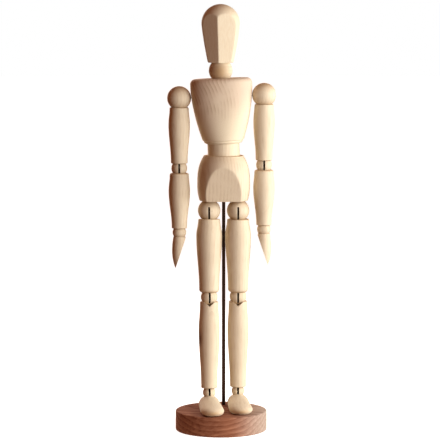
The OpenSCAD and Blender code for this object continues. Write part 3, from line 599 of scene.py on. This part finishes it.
def blade(sizes, radius, pin, limits):
    """Saw cut square to a pin through a ball's centre, with broken edges, kept between limits along X, Y and Z"""
    half = sizes.slot_width / 2
    edge = sizes.slot_chamfer
    out = radius + 2 * edge
    outline = [(0, -half), (radius - edge, -half), (out, -half - 3 * edge), (out, half + 3 * edge),
               (radius - edge, half), (0, half)]
    bm = turn(outline)
    bmesh.ops.transform(bm, matrix=UP.rotation_difference(pin).to_matrix().to_4x4(), verts=bm.verts)
    for axis, ends in zip(((1, 0, 0), (0, 1, 0), (0, 0, 1)), limits):
        for end, normal in zip(ends, (-1, 1)):
            keep_side(bm, Vector(axis) * end, Vector(axis) * normal)
    # The walls of the cut take the painted shade, and its broken edges stay bare wood
    for face in bm.faces:
        centre = face.calc_center_median()
        face.material_index = 1 if (centre - pin * pin.dot(centre)).length > radius - edge else 0
    return bm


def keep_side(bm, point, normal):
    """Cuts off what lies past a plane and closes the cut"""
    cut = bmesh.ops.bisect_plane(bm, geom=bm.verts[:] + bm.edges[:] + bm.faces[:], dist=WELD, plane_co=point,
                                 plane_no=normal, clear_outer=True)
    rim = [e for e in cut["geom_cut"] if isinstance(e, bmesh.types.BMEdge)]
    if rim:
        bmesh.ops.holes_fill(bm, edges=rim)
        bmesh.ops.recalc_face_normals(bm, faces=bm.faces)


def close(bm):
    """Closes a turned shell's open ends and points its faces outwards"""
    bmesh.ops.holes_fill(bm, edges=[e for e in bm.edges if e.is_boundary])
    bmesh.ops.recalc_face_normals(bm, faces=bm.faces)


def sand_flat(bm, facing, depth_at, soft):
    """Sands a flat with a soft edge, which faces one way at a distance from the axis by height"""
    for vertex in bm.verts:
        past = vertex.co.dot(facing) - depth_at(vertex.co.z)
        vertex.co -= facing * (past + math.hypot(past, soft)) / 2


def rod_ends():
    """Lower and upper end of the support rod's axis, and its radius"""
    low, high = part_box("support_rod")
    middle = (low + high) / 2
    return Vector((middle.x, middle.y, low.z)), Vector((middle.x, middle.y, high.z)), (high.x - low.x) / 2


def limb_joints(side):
    """Centres of one side's shoulder, elbow, wrist, hip, knee and ankle"""
    return [JOINT[f"{side}_{joint}"] for joint in ("shoulder_swing", "elbow_bend", "wrist_bend", "hip_swing",
                                                   "knee_bend", "ankle_tilt")]


def bar(radius, low, high, steps=PIN_STEPS):
    """Plain round bar along Z"""
    return turn([(0, low), (radius, low), (radius, high), (0, high)], steps=steps)


def bore_cutter(name, start, end, radius):
    """Cutter for a round bore between two points"""
    # The bore's wall is lined with the painted shade of the saw cuts
    bm = bar(radius, 0, (end - start).length, BORE_STEPS)
    return make_object(name, bm, "painted_shade_saw_cut", place=upright(start, end))


def cup_cutter(name, centre, radius):
    """Cutter for a ball's cup"""
    bm = bmesh.new()
    bmesh.ops.create_uvsphere(bm, u_segments=TURN_STEPS, v_segments=TURN_STEPS // 2, radius=radius)
    return make_object(name, bm, "bare_basswood", place=Matrix.Translation(centre))


def spigot_cutters(sizes, name, centre, towards, ball, spigot, spigot_long):
    """Cutters for a ball's cup and for the bore of its spigot, which points towards a place"""
    end = centre + (towards - centre).normalized() * (ball + spigot_long + sizes.spigot_gap)
    return (cup_cutter(name + "_cup", centre, ball + sizes.cup_gap),
            bore_cutter(name + "_bore", centre, end, spigot + BORE_GAP))


class MANNEQUIN_OT_stage(bpy.types.Operator):
    """Sets the camera, the light and the floor"""

    bl_idname = "mannequin.stage"
    bl_label = "Stage"

    def execute(self, context):
        stage = context.scene.mannequin_stage
        context.scene.view_settings.view_transform = "Standard"
        aim = Vector((-stage.view_side, JOINT["waist_bend"].y, stage.view_height))
        self.aim_camera(context, stage, aim)
        self.light(stage, aim, "window", stage.key_turn, stage.key_width, stage.key_power, stage.key_colour)
        self.light(stage, aim, "fill", stage.fill_turn, stage.fill_width, stage.fill_power, stage.fill_colour)
        self.lay_floor(stage)
        self.whiten_world(context, stage)
        return {"FINISHED"}

    def aim_camera(self, context, stage, aim):
        """Camera at its distance from the aim, with the span that it sees there"""
        away = Vector((math.sin(stage.view_turn) * math.cos(stage.view_down),
                       -math.cos(stage.view_turn) * math.cos(stage.view_down), math.sin(stage.view_down)))
        camera = bpy.data.objects.new("camera", bpy.data.cameras.new("camera"))
        camera.data.sensor_fit = "VERTICAL"
        camera.data.sensor_height = camera.data.sensor_width
        camera.data.angle_y = 2 * math.atan(stage.view_span / 2 / stage.view_distance)
        camera.location = aim + away * stage.view_distance
        camera.rotation_euler = away.to_track_quat("Z", "Y").to_euler()
        context.scene.collection.objects.link(camera)
        context.scene.camera = camera

    def light(self, stage, aim, name, turned, width, power, colour):
        """Soft lamp at the window's distance and rise, turned round the figure"""
        lamp = bpy.data.lights.new(name, "AREA")
        lamp.shape = "RECTANGLE"
        lamp.size, lamp.size_y = width, stage.key_height
        lamp.energy = power
        lamp.color = colour[:3]
        flat = stage.key_distance * math.cos(stage.key_rise)
        offset = Vector((flat * math.sin(turned), -flat * math.cos(turned),
                         stage.key_distance * math.sin(stage.key_rise)))
        holder = bpy.data.objects.new(name, lamp)
        holder.location = aim + offset
        holder.rotation_euler = offset.to_track_quat("Z", "Y").to_euler()
        bpy.context.scene.collection.objects.link(holder)

    def seen(self, tree):
        """Socket that is 1 where the camera looks, also by way of a reflection or through something"""
        rays = add_node(tree, "ShaderNodeLightPath")
        looks = rays.outputs["Is Camera Ray"]
        for kind in ("Is Glossy Ray", "Is Transmission Ray"):
            looks = add_node(tree, "ShaderNodeMath", {0: looks, 1: rays.outputs[kind]}, operation="MAXIMUM").outputs[0]
        return looks

    def lay_floor(self, stage):
        """Floor that looks white and keeps a faint shadow, and gives back the warm light of the room"""
        bm = bmesh.new()
        bmesh.ops.create_circle(bm, cap_ends=True, segments=64, radius=stage.floor_size)
        floor = make_object("floor", bm)
        material, tree, shader = new_material("pale_floor")
        seen = self.seen(tree)
        colour = add_node(tree, "ShaderNodeMix", {0: seen, 6: stage.floor_bounce, 7: stage.floor}, data_type="RGBA")
        tree.links.new(colour.outputs[2], shader.inputs["Base Color"])
        shader.inputs["Roughness"].default_value = 0.9
        shader.inputs["Specular IOR Level"].default_value = 0.0
        white = add_node(tree, "ShaderNodeMix", {0: seen, 6: stage.floor_warm, 7: (1, 1, 1, 1)}, data_type="RGBA")
        tree.links.new(white.outputs[2], shader.inputs["Emission Color"])
        place = add_node(tree, "ShaderNodeTexCoord").outputs["Object"]
        away = add_node(tree, "ShaderNodeVectorMath", {0: place}, operation="LENGTH").outputs["Value"]
        glow, back = (
            add_node(tree, "ShaderNodeMapRange", {"Value": away, "From Min": stage.floor_near, "From Max": reach,
                                                  "To Min": near, "To Max": far}).outputs[0]
            for reach, near, far in ((stage.shadow_reach, stage.floor_glow, 1),
                                     (stage.bounce_reach, stage.floor_back, 0)))
        part = add_node(tree, "ShaderNodeMix", {0: seen, 2: back, 3: glow})
        tree.links.new(part.outputs[0], shader.inputs["Emission Strength"])
        floor.data.materials.append(material)

    def whiten_world(self, context, stage):
        """White where the camera looks, and the warm light of a room elsewhere"""
        world = bpy.data.worlds.new("studio")
        context.scene.world = world
        world.use_nodes = True
        tree = world.node_tree
        tree.nodes.clear()
        colour = add_node(tree, "ShaderNodeMix", {0: self.seen(tree), 6: stage.room, 7: (1, 1, 1, 1)},
                          data_type="RGBA")
        background = add_node(tree, "ShaderNodeBackground", {"Color": colour.outputs[2]})
        add_node(tree, "ShaderNodeOutputWorld", {"Surface": background.outputs[0]})


class MANNEQUIN_OT_base(bpy.types.Operator):
    """Turns the round base and bores it for the rod"""

    bl_idname = "mannequin.base"
    bl_label = "Base"

    def execute(self, context):
        sizes = context.scene.mannequin_sizes
        low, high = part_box("base")
        radius = (high.x - low.x) / 2
        thick = high.z - low.z
        side = turned_side(lambda t: radius, thick, sizes.base_chamfer, sizes.base_chamfer, BASE_STEPS)
        rings = [radius * i / BASE_STEPS for i in range(BASE_STEPS)]
        outline = [(r, 0) for r in rings] + side + [(r, thick) for r in reversed(rings)]
        piece = make_object("base_wood", turn(outline, steps=2 * TURN_STEPS), "oiled_steamed_beech")
        foot, _, rod_radius = rod_ends()
        # The rod's hole is lined with painted shade
        cut_away(piece, make_object("rod_hole", bar(rod_radius + BORE_GAP, 0, thick), "painted_shade_saw_cut",
                                    place=Matrix.Translation(foot)))
        # The fibres run across the base and dip to one side, where a paler painted sheen lies over the grain
        lay_grain(piece, 3, along=(1, 0.1, 0.17), heart=(0, 40, -140), blush_and_painted_light=lambda p: ramp(p.x, 4, 38))
        hand_over(piece, "base")
        return {"FINISHED"}


class MANNEQUIN_OT_steel(bpy.types.Operator):
    """Turns the support rod and gives the pins, springs and hip link their steel"""

    bl_idname = "mannequin.steel"
    bl_label = "Rod and wire"

    def execute(self, context):
        sizes = context.scene.mannequin_sizes
        foot, top, radius = rod_ends()
        height = top.z - foot.z
        outline = [(0, 0)] + turned_side(lambda t: radius, height, sizes.rod_round, sizes.rod_round) + [(0, height)]
        rod = make_object("support_rod_steel", turn(outline, steps=BORE_STEPS), "drawn_steel",
                          place=Matrix.Translation(foot))
        hand_over(rod, "support_rod")
        for node, holder in frame["nodes"].items():
            if SLOT_OF[node] == "steel_wire" and node != "support_rod":
                holder.data.materials.clear()
                holder.data.materials.append(finish_of("drawn_steel"))
        return {"FINISHED"}


class MANNEQUIN_OT_pelvis(bpy.types.Operator):
    """Turns the pelvis, sands its two flats and bores its cups"""

    bl_idname = "mannequin.pelvis"
    bl_label = "Pelvis"

    def execute(self, context):
        sizes = context.scene.mannequin_sizes
        low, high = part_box("pelvis")
        height = high.z - low.z

        def radius_at(t):
            h = t * height
            if h < sizes.pelvis_mid:
                return sizes.pelvis_belly - (sizes.pelvis_belly - sizes.pelvis_low) * (1 - h / sizes.pelvis_mid) ** 2
            rise = (h - sizes.pelvis_mid) / (height - sizes.pelvis_mid)
            return sizes.pelvis_belly - (sizes.pelvis_belly - sizes.pelvis_top) * rise ** 3

        side = turned_side(radius_at, height, sizes.edge_round, sizes.edge_round, 2 * SIDE_STEPS)
        bm = turn(side, steps=2 * TURN_STEPS)
        slope = (radius_at(sizes.flat_height / height) - sizes.flat_in) / sizes.flat_height
        for front in (-1, 1):
            sand_flat(bm, Vector((0, front, 0)), lambda h: sizes.flat_in + slope * h, sizes.flat_soft)
        close(bm)
        waist = JOINT["waist_turn"]
        piece = make_object("pelvis_wood", bm, "bare_basswood", place=Matrix.Translation((waist.x, waist.y, low.z)))
        below = 2 * waist - JOINT["neck_nod"]
        cutters = [*spigot_cutters(sizes, "waist", waist, below, sizes.waist_ball, sizes.waist_spigot,
                                   sizes.waist_spigot_long)]
        link = Vector((waist.x, waist.y + sizes.link_back, low.z + sizes.link_height))
        for name in SIDES:
            hip = JOINT[name + "_hip_swing"]
            top = Vector((hip.x, hip.y, link.z + sizes.wire_bore))
            cutters.append(cup_cutter(name + "_hip_cup", hip, sizes.hip_ball + sizes.cup_gap))
            cutters.append(bore_cutter(name + "_hip_bore", hip, top, sizes.turn_bore))
        half = Vector((JOINT["left_hip_swing"].x - waist.x, 0, 0))
        cutters.append(bore_cutter("link_bore", link - half, link + half, sizes.wire_bore + 2 * BORE_GAP))
        foot, _, rod_radius = rod_ends()
        start, end = (Vector((foot.x, foot.y, low.z + h)) for h in (-PAST, sizes.rod_depth))
        cutters.append(bore_cutter("rod_bore", start, end, rod_radius + BORE_GAP))
        cut_away(piece, *cutters)
        lay_grain(piece, 1, heart=(38, 0, 0), blush_and_painted_light=lambda p: 0.6, rings=lambda p: 0.35)
        hand_over(piece, "pelvis")
        return {"FINISHED"}


class MANNEQUIN_OT_chest(bpy.types.Operator):
    """Turns the chest, presses it to its oval and bores its cups"""

    bl_idname = "mannequin.chest"
    bl_label = "Chest"

    def execute(self, context):
        sizes = context.scene.mannequin_sizes
        waist, neck = JOINT["waist_bend"], JOINT["neck_nod"]
        height = (neck - waist).length - sizes.waist_rim - sizes.neck_rim

        def swell(h):
            return 1 - (1 - min(h, sizes.chest_mid) / sizes.chest_mid) ** sizes.chest_flare

        def half_width(h):
            return sizes.chest_waist + (sizes.chest_width - sizes.chest_waist) * swell(h)

        low, high = sizes.chest_low_round, sizes.chest_round
        steps = 2 * SIDE_STEPS
        side = round_off(half_width(0), low)
        side += [(half_width(h), h) for h in (low + (height - low - high) * i / steps for i in range(1, steps))]
        side += round_off(half_width(height), high, height)
        bm = turn(side, steps=2 * TURN_STEPS)
        for vertex in bm.verts:
            self.press(vertex, sizes, swell(max(vertex.co.z, 0)), half_width(max(vertex.co.z, 0)))
        close(bm)
        place = upright(waist, neck) @ Matrix.Translation((0, 0, sizes.waist_rim))
        piece = make_object("chest_wood", bm, "bare_basswood", place=place)
        shoulders = [limb_joints(name)[0] for name in SIDES]
        cups = [("waist", sizes.waist_ball, waist), ("neck", sizes.neck_ball, neck)]
        cups += [(name, sizes.shoulder_ball, centre) for name, centre in zip(SIDES, shoulders)]
        cut_away(piece, *[cup_cutter(name + "_cup", centre, radius + sizes.cup_gap) for name, radius, centre in cups],
                 bore_cutter("spine_bore", waist, neck, sizes.spring_bore),
                 bore_cutter("shoulder_bore", *shoulders, sizes.spring_bore))
        # Slanting rings show on the upper right. Above and towards the figure's right the wood is pinker and darker,
        # partly the blank's blush and partly painted shade; below it is pale
        lay_grain(piece, 2, along=(0.2, 0.9, 0.4), heart=(-42, 0, -2), ends=0,
                  rings=lambda p: 0.7 * ramp(p.z, -10, 6) * ramp(p.x, 16, 0),
                  blush_and_painted_light=lambda p: 1.5 * ramp(p.z - 0.5 * p.x, -14, 10))
        hand_over(piece, "chest")
        return {"FINISHED"}

    def press(self, vertex, sizes, swollen, width):
        """Moves a point of the round chest to its oval, which grows squarer as it swells"""
        across, deep = vertex.co.x, vertex.co.y
        radius = math.hypot(across, deep)
        inset = width - radius
        depth = sizes.chest_waist + (sizes.chest_depth - sizes.chest_waist) * swollen - inset
        power = 2 / (2 + sizes.chest_square * swollen)
        vertex.co.x = math.copysign((abs(across) / radius) ** power, across) * (width - inset)
        vertex.co.y = math.copysign((abs(deep) / radius) ** power, deep) * depth


class MANNEQUIN_OT_head(bpy.types.Operator):
    """Turns the head and sands the two facets that meet in the ridge of its face"""

    bl_idname = "mannequin.head"
    bl_label = "Head"

    def execute(self, context):
        sizes = context.scene.mannequin_sizes
        waist, neck = JOINT["waist_bend"], JOINT["neck_nod"]
        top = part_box("head")[1].z
        height = top - neck.z - sizes.neck_rim
        middle = height - sizes.head_radius
        steps = 2 * SIDE_STEPS

        def radius_at(h):
            return sizes.head_radius - (sizes.head_radius - sizes.head_neck) * (1 - h / middle) ** sizes.head_flare

        side = round_off(sizes.head_neck, sizes.edge_round)
        side += [(radius_at(h), h) for h in (sizes.edge_round + (middle - sizes.edge_round) * i / steps
                                             for i in range(1, steps + 1))]
        crown = [math.pi / 2 * i / SIDE_STEPS for i in range(1, SIDE_STEPS + 1)]
        side += [(sizes.head_radius * math.cos(a), middle + sizes.head_radius * math.sin(a)) for a in crown]
        bm = turn(side, steps=2 * TURN_STEPS)
        bmesh.ops.remove_doubles(bm, verts=[v for v in bm.verts if v.co.z > height - WELD * 10], dist=WELD * 100)
        crown_radius = math.sqrt(sizes.head_radius ** 2 - (sizes.ridge_height - middle) ** 2)
        slope = (crown_radius - sizes.ridge_in) / sizes.ridge_height
        for side_sign in (-1, 1):
            facing = Vector((side_sign * math.sin(sizes.facet_angle), -math.cos(sizes.facet_angle), 0))
            sand_flat(bm, facing, lambda h: math.cos(sizes.facet_angle) * (sizes.ridge_in + slope * h), sizes.flat_soft)
        close(bm)
        place = Matrix.Translation(neck + UP * sizes.neck_rim) @ Matrix.Rotation(sizes.head_look, 4, "Z")
        piece = make_object("head_wood", bm, "bare_basswood", place=place)
        cut_away(piece, *spigot_cutters(sizes, "neck", neck, 2 * neck - waist, sizes.neck_ball, sizes.neck_spigot,
                                        sizes.neck_spigot_long))
        lay_grain(piece, 5, blush_and_painted_light=lambda p: 0.1, rings=lambda p: 0.08, ends=0.4)
        hand_over(piece, "head")
        return {"FINISHED"}


class MANNEQUIN_OT_balls(bpy.types.Operator):
    """Turns the balls, saws their slots and bores them for pins and hooks"""

    bl_idname = "mannequin.balls"
    bl_label = "Balls"

    def execute(self, context):
        s = context.scene.mannequin_sizes
        room, wide = s.hook_room, (-FAR, FAR)
        waist, neck = JOINT["waist_bend"], JOINT["neck_nod"]
        hidden = s.neck_ball - s.slot_wall
        self.ball(s, "neck_ball", upright(neck, waist), s.neck_ball, "X", [(wide, (-hidden, hidden), (-room, FAR))], 11,
                  (s.neck_spigot, s.neck_spigot_long), along=(0.2, 1, 0.1))
        hidden = s.waist_ball - s.slot_wall
        self.ball(s, "waist_ball", upright(waist, neck), s.waist_ball, "X", [(wide, (-hidden, hidden), (-room, FAR))],
                  12, (s.waist_spigot, s.waist_spigot_long), belt=s.waist_belt)
        for number, (name, sign) in enumerate(SIDES.items()):
            blank = 20 * (number + 1)
            shoulder, elbow, wrist, hip, knee, ankle = limb_joints(name)
            outward = sorted((-sign * room, sign * FAR))
            self.ball(s, name + "_shoulder_ball", upright(shoulder), s.shoulder_ball, "Y",
                      [(outward, wide, (-FAR, room))], blank + 1, bead=True)
            self.ball(s, name + "_elbow_ball", upright(elbow), s.elbow_ball, "X",
                      [(wide, (-FAR, s.slot_end), (-FAR, s.elbow_rim))], blank + 2, turning=True)
            hidden = s.wrist_ball - s.wrist_slot_wall
            self.ball(s, name + "_wrist_ball", upright(wrist), s.wrist_ball, "Y",
                      [((-hidden, hidden), wide, (-room, FAR))], blank + 3, (s.wrist_spigot, s.wrist_spigot_long))
            self.ball(s, name + "_hip_ball", upright(hip), s.hip_ball, "X",
                      [(wide, (-FAR, s.slot_end), (-FAR, s.hip_slot_top))], blank + 4, turning=True)
            self.ball(s, name + "_knee_ball", upright(knee, hip, AXIS[name + "_knee_bend"]), s.knee_ball, "X",
                      [(wide, (-room, FAR), (-FAR, s.knee_rim)),
                       (wide, (-FAR, s.groove_depth - s.knee_ball), (-FAR, s.knee_rim))], blank + 5, turning=True)
            self.ball(s, name + "_ankle_ball", upright(ankle, pin=AXIS[name + "_ankle_tilt"]), s.ankle_ball, "X",
                      [(wide, (-FAR, s.slot_end), (-room, FAR))], blank + 6, (s.ankle_spigot, s.ankle_spigot_long))
        return {"FINISHED"}

    def ball(self, sizes, node, place, radius, pin, slots, blank, spigot=None, belt=None, turning=False, bead=False,
             along=UP):
        """One ball in its own frame, with the slots' limits along X, Y and Z"""
        bm = turn(self.outline(radius, spigot, belt or radius))
        piece = make_object(node + "_wood", bm, "bare_basswood", place=place)
        axis = Vector((1, 0, 0)) if pin == "X" else Vector((0, 1, 0))
        # The slots are lined with painted shade
        cutters = [make_object(f"{node}_slot_{i}", blade(sizes, radius, axis, limits), "painted_shade_saw_cut", "bare_basswood",
                               place=place) for i, limits in enumerate(slots)]
        start = -2 * radius if pin == "X" else sizes.blind_in - radius
        # Pin holes and turning bores are lined with painted shade
        cutters.append(make_object(node + "_hole", bar(sizes.pin_bore, start, 2 * radius), "painted_shade_saw_cut",
                                   place=place @ UP.rotation_difference(axis).to_matrix().to_4x4()))
        if turning:
            bore = bar(sizes.turn_bore, -sizes.turn_room, 2 * radius, BORE_STEPS)
            cutters.append(make_object(node + "_bore", bore, "painted_shade_saw_cut", place=place))
        if bead:
            here, there = sorted((limb_joints(name)[0] for name in SIDES), key=lambda p: (p - place.translation).length)
            inward = (there - here).normalized()
            cutters.append(bore_cutter(node + "_bead_bore", here, here + inward * sizes.bead_depth, sizes.bead_bore))
            cutters.append(bore_cutter(node + "_wire_bore", here, here + inward * 2 * radius, sizes.wire_bore))
        cut_away(piece, *cutters)
        lay_grain(piece, blank, along=along)
        hand_over(piece, node)

    def outline(self, radius, spigot, belt):
        """Half outline of a ball with a spigot below and a straight belt"""
        low = math.asin(spigot[0] / radius) if spigot else 0
        edge = math.asin(min(belt / radius, 1))
        angles = [low + (math.pi - low) * i / SIDE_STEPS for i in range(SIDE_STEPS + 1)]
        if belt < radius:
            angles = sorted(angles + [edge, math.pi - edge])
        points = [(min(radius * math.sin(a), belt), -radius * math.cos(a)) for a in angles]
        points[-1] = (0, radius)
        if spigot:
            end = -radius - spigot[1]
            return [(0, end), (spigot[0], end)] + points
        points[0] = (0, -radius)
        return points


class MANNEQUIN_OT_limbs(bpy.types.Operator):
    """Turns the upper arms, forearms, thighs and shins"""

    bl_idname = "mannequin.limbs"
    bl_label = "Limbs"

    def execute(self, context):
        s = context.scene.mannequin_sizes
        edge = s.edge_round
        for number, name in enumerate(SIDES):
            blank = 30 + 10 * number
            shoulder, elbow, wrist, hip, knee, ankle = limb_joints(name)
            self.limb(s, name + "_upper_arm", (elbow, s.elbow_rim, s.elbow_ball),
                      (shoulder, s.shoulder_rim, s.shoulder_ball),
                      belly(s.upper_arm_end, s.upper_arm_top, s.arm_belly, s.arm_mid), edge, edge, True, blank + 1)
            self.limb(s, name + "_forearm", (wrist, s.wrist_rim, s.wrist_ball), (elbow, s.elbow_rim, s.elbow_ball),
                      belly(s.forearm_end, s.forearm_top, s.arm_belly, s.arm_mid), edge, s.forearm_round, False,
                      blank + 2)
            self.limb(s, name + "_thigh", (knee, s.knee_rim, s.knee_ball), (hip, s.hip_rim, s.hip_ball),
                      belly(s.thigh_end, s.thigh_top, s.thigh_belly, s.thigh_mid), s.thigh_round, edge, True,
                      blank + 3)
            self.limb(s, name + "_shin", (ankle, s.ankle_rim, s.ankle_ball), (knee, s.knee_rim, s.knee_ball),
                      belly(s.shin_end, s.shin_top, s.shin_belly, s.shin_mid), edge, edge, False, blank + 4)
        return {"FINISHED"}

    def limb(self, sizes, node, low, high, radius_at, low_round, high_round, turning, blank):
        """One limb between two balls, each given by its joint's place, its rim's distance and its radius"""
        low_joint, low_rim, low_ball = low
        high_joint, high_rim, high_ball = high
        height = (high_joint - low_joint).length - low_rim - high_rim
        side = turned_side(radius_at, height, low_round, high_round)
        bm = pipe(sizes, side, height, (low_ball + sizes.cup_gap, low_rim), (high_ball + sizes.cup_gap, high_rim),
                  turning)
        place = upright(low_joint, high_joint) @ Matrix.Translation((0, 0, low_rim))
        piece = make_object(node + "_wood", bm, "bare_basswood", place=place)
        if node.endswith("shin"):
            pin = AXIS[node.replace("shin", "knee_bend")]
            cut_away(piece, self.notch(sizes, upright(high_joint, 2 * high_joint - low_joint, pin)))
        knot = None
        if node == "right_shin":
            outward = Vector((-math.cos(sizes.knot_turn), -math.sin(sizes.knot_turn), 0))
            place = low_joint.lerp(high_joint, sizes.knot_share) + outward * sizes.shin_belly
            knot = (place, sizes.knot_size, 2 * sizes.knot_size)
        lay_grain(piece, blank, knot=knot)
        hand_over(piece, node)

    def notch(self, sizes, knee):
        """V-shaped cutter for the relief in the shin's front rim"""
        bm = bmesh.new()
        wide, deep = sizes.notch_width, sizes.notch_depth
        corners = [bm.verts.new((x, 0, z)) for x, z in ((0, -deep), (wide, deep), (-wide, deep))]
        outline = bm.faces.new(corners)
        pulled = bmesh.ops.extrude_face_region(bm, geom=[outline])["geom"]
        bmesh.ops.translate(bm, verts=[v for v in pulled if isinstance(v, bmesh.types.BMVert)],
                            vec=(0, -2 * sizes.shin_belly, 0))
        bmesh.ops.recalc_face_normals(bm, faces=bm.faces)
        return make_object("notch", bm, "bare_basswood", place=knee @ Matrix.Translation((0, 0, -sizes.knee_rim)))


class MANNEQUIN_OT_hands(bpy.types.Operator):
    """Turns the hands and cuts their palms flat"""

    bl_idname = "mannequin.hands"
    bl_label = "Hands"

    def execute(self, context):
        sizes = context.scene.mannequin_sizes
        middle = sizes.hand_mid

        def radius_at(t):
            t = 1 - t
            if t < middle:
                return sizes.hand_belly - (sizes.hand_belly - sizes.hand_top) * (1 - t / middle) ** 2
            return sizes.hand_belly - (sizes.hand_belly - sizes.fingertip_out) * ((t - middle) / (1 - middle)) ** 2

        for number, (name, sign) in enumerate(SIDES.items()):
            wrist, elbow = JOINT[name + "_wrist_bend"], JOINT[name + "_elbow_bend"]
            side = turned_side(radius_at, sizes.hand_length, sizes.hand_round, sizes.hand_round)
            bm = turn([(0, 0)] + side + [(0, sizes.hand_length)])
            slant = math.atan((sizes.hand_top + sizes.fingertip_out) / (sizes.hand_length - sizes.palm_top))
            keep_side(bm, Vector((-sign * sizes.hand_top, 0, sizes.hand_length - sizes.palm_top)),
                      Vector((-sign * math.cos(slant), 0, -math.sin(slant))))
            place = upright(wrist, elbow) @ Matrix.Translation((0, 0, -sizes.wrist_rim - sizes.hand_length))
            piece = make_object(name + "_hand_wood", bm, "bare_basswood", place=place)
            cut_away(piece, *spigot_cutters(sizes, "wrist", wrist, wrist - UP, sizes.wrist_ball, sizes.wrist_spigot,
                                            sizes.wrist_spigot_long))
            lay_grain(piece, 50 + number)
            hand_over(piece, name + "_hand")
        return {"FINISHED"}


class MANNEQUIN_OT_feet(bpy.types.Operator):
    """Shapes the feet from round blanks and sands their soles flat"""

    bl_idname = "mannequin.feet"
    bl_label = "Feet"

    def execute(self, context):
        sizes = context.scene.mannequin_sizes
        for number, name in enumerate(SIDES):
            ankle = JOINT[name + "_ankle_tilt"]
            bm = bmesh.new()
            bmesh.ops.create_uvsphere(bm, u_segments=TURN_STEPS, v_segments=TURN_STEPS, radius=1)
            bmesh.ops.rotate(bm, matrix=Matrix.Rotation(math.pi / 2, 3, "X"), verts=bm.verts)
            line = self.crown(sizes)
            for vertex in bm.verts:
                self.shape(sizes, line, vertex)
            sole = ankle - UP * sizes.ankle_height
            place = Matrix.Translation(sole)
            place = place @ Matrix.Rotation(sizes.foot_out if name == "left" else sizes.foot_in, 4, "Z")
            piece = make_object(name + "_foot_wood", bm, "bare_basswood", place=place)
            cut_away(piece, *spigot_cutters(sizes, "ankle", ankle, ankle - UP, sizes.ankle_ball, sizes.ankle_spigot,
                                            sizes.ankle_spigot_long))
            lay_grain(piece, 60 + number, along=(0, 1, 0))
            hand_over(piece, name + "_foot")
        return {"FINISHED"}

    def crown(self, sizes):
        """Top line of the foot, tight over heel, instep and toe, as places and heights from toe to heel"""
        rounds = ((sizes.foot_back - sizes.heel_width / 2, sizes.foot_mid, sizes.heel_width / 2,
                   sizes.heel_height - sizes.foot_mid),
                  (-sizes.instep_front, sizes.instep_height - sizes.instep_round, sizes.instep_round,
                   sizes.instep_round),
                  (sizes.toe_length - sizes.foot_front, sizes.foot_mid, sizes.toe_length,
                   sizes.toe_height - sizes.foot_mid))
        points = sorted((y + long * math.cos(math.pi * i / SIDE_STEPS), z + high * math.sin(math.pi * i / SIDE_STEPS))
                        for y, z, long, high in rounds for i in range(SIDE_STEPS + 1))
        line = []
        for point in points:
            while len(line) > 1 and ((line[-1][0] - line[-2][0]) * (point[1] - line[-2][1])
                                     >= (line[-1][1] - line[-2][1]) * (point[0] - line[-2][0])):
                line.pop()
            line.append(point)
        return line

    def shape(self, sizes, line, vertex):
        """Moves a point of a ball to the foot's surface, the ball's poles at heel and toe"""
        half = (sizes.foot_front + sizes.foot_back) / 2
        along = (sizes.foot_back - sizes.foot_front) / 2 + half * vertex.co.y
        across = math.hypot(vertex.co.x, vertex.co.z)
        if across < WELD:
            vertex.co = Vector((0, along, sizes.foot_mid))
            return
        heel_y = sizes.foot_back - sizes.heel_width / 2
        toe_y = sizes.toe_length - sizes.foot_front
        t = min(max((heel_y - along) / (heel_y - toe_y), 0), 1)
        end = 1.0
        if along > heel_y:
            end = math.sqrt(max(1 - ((along - heel_y) / (sizes.heel_width / 2)) ** 2, 0))
        elif along < toe_y:
            end = math.sqrt(max(1 - ((along - toe_y) / sizes.toe_length) ** 2, 0))
        width = (sizes.heel_width + (sizes.toe_width - sizes.heel_width) * t) / 2
        top = next((y0, z0, y1, z1) for (y0, z0), (y1, z1) in zip(line, line[1:]) if along <= y1 + WELD)
        crown = top[1] + (top[3] - top[1]) * (along - top[0]) / (top[2] - top[0])
        low = (sizes.heel_height + (sizes.toe_height - sizes.heel_height) * t - sizes.foot_mid) * end
        rise = (crown - sizes.foot_mid if vertex.co.z > 0 else low) * vertex.co.z / across
        vertex.co = Vector((width * end * vertex.co.x / across, along, max(sizes.foot_mid + rise, 0)))


STEPS = (MANNEQUIN_OT_stage, MANNEQUIN_OT_base, MANNEQUIN_OT_steel, MANNEQUIN_OT_pelvis, MANNEQUIN_OT_chest,
         MANNEQUIN_OT_head, MANNEQUIN_OT_balls, MANNEQUIN_OT_limbs, MANNEQUIN_OT_hands, MANNEQUIN_OT_feet)


class MANNEQUIN_PT_panel(bpy.types.Panel):
    """Lists the steps that build the mannequin"""

    bl_idname = "MANNEQUIN_PT_panel"
    bl_label = "Mannequin"
    bl_space_type = "VIEW_3D"
    bl_region_type = "UI"
    bl_category = "Mannequin"

    def draw(self, context):
        for step in STEPS:
            self.layout.operator(step.bl_idname)


GROUPS = {"mannequin_sizes": MannequinSizes, "mannequin_finish": MannequinFinish, "mannequin_stage": MannequinStage}


def register():
    for kind in (*GROUPS.values(), *STEPS, MANNEQUIN_PT_panel):
        bpy.utils.register_class(kind)
    for name, group in GROUPS.items():
        setattr(bpy.types.Scene, name, PointerProperty(type=group))


def unregister():
    for name in GROUPS:
        delattr(bpy.types.Scene, name)
    for kind in reversed((*GROUPS.values(), *STEPS, MANNEQUIN_PT_panel)):
        bpy.utils.unregister_class(kind)


def main():
    """Builds everything in order"""
    register()
    for step in STEPS:
        getattr(bpy.ops.mannequin, step.bl_idname.split(".")[1])()


if __name__ == "__main__":
    main()
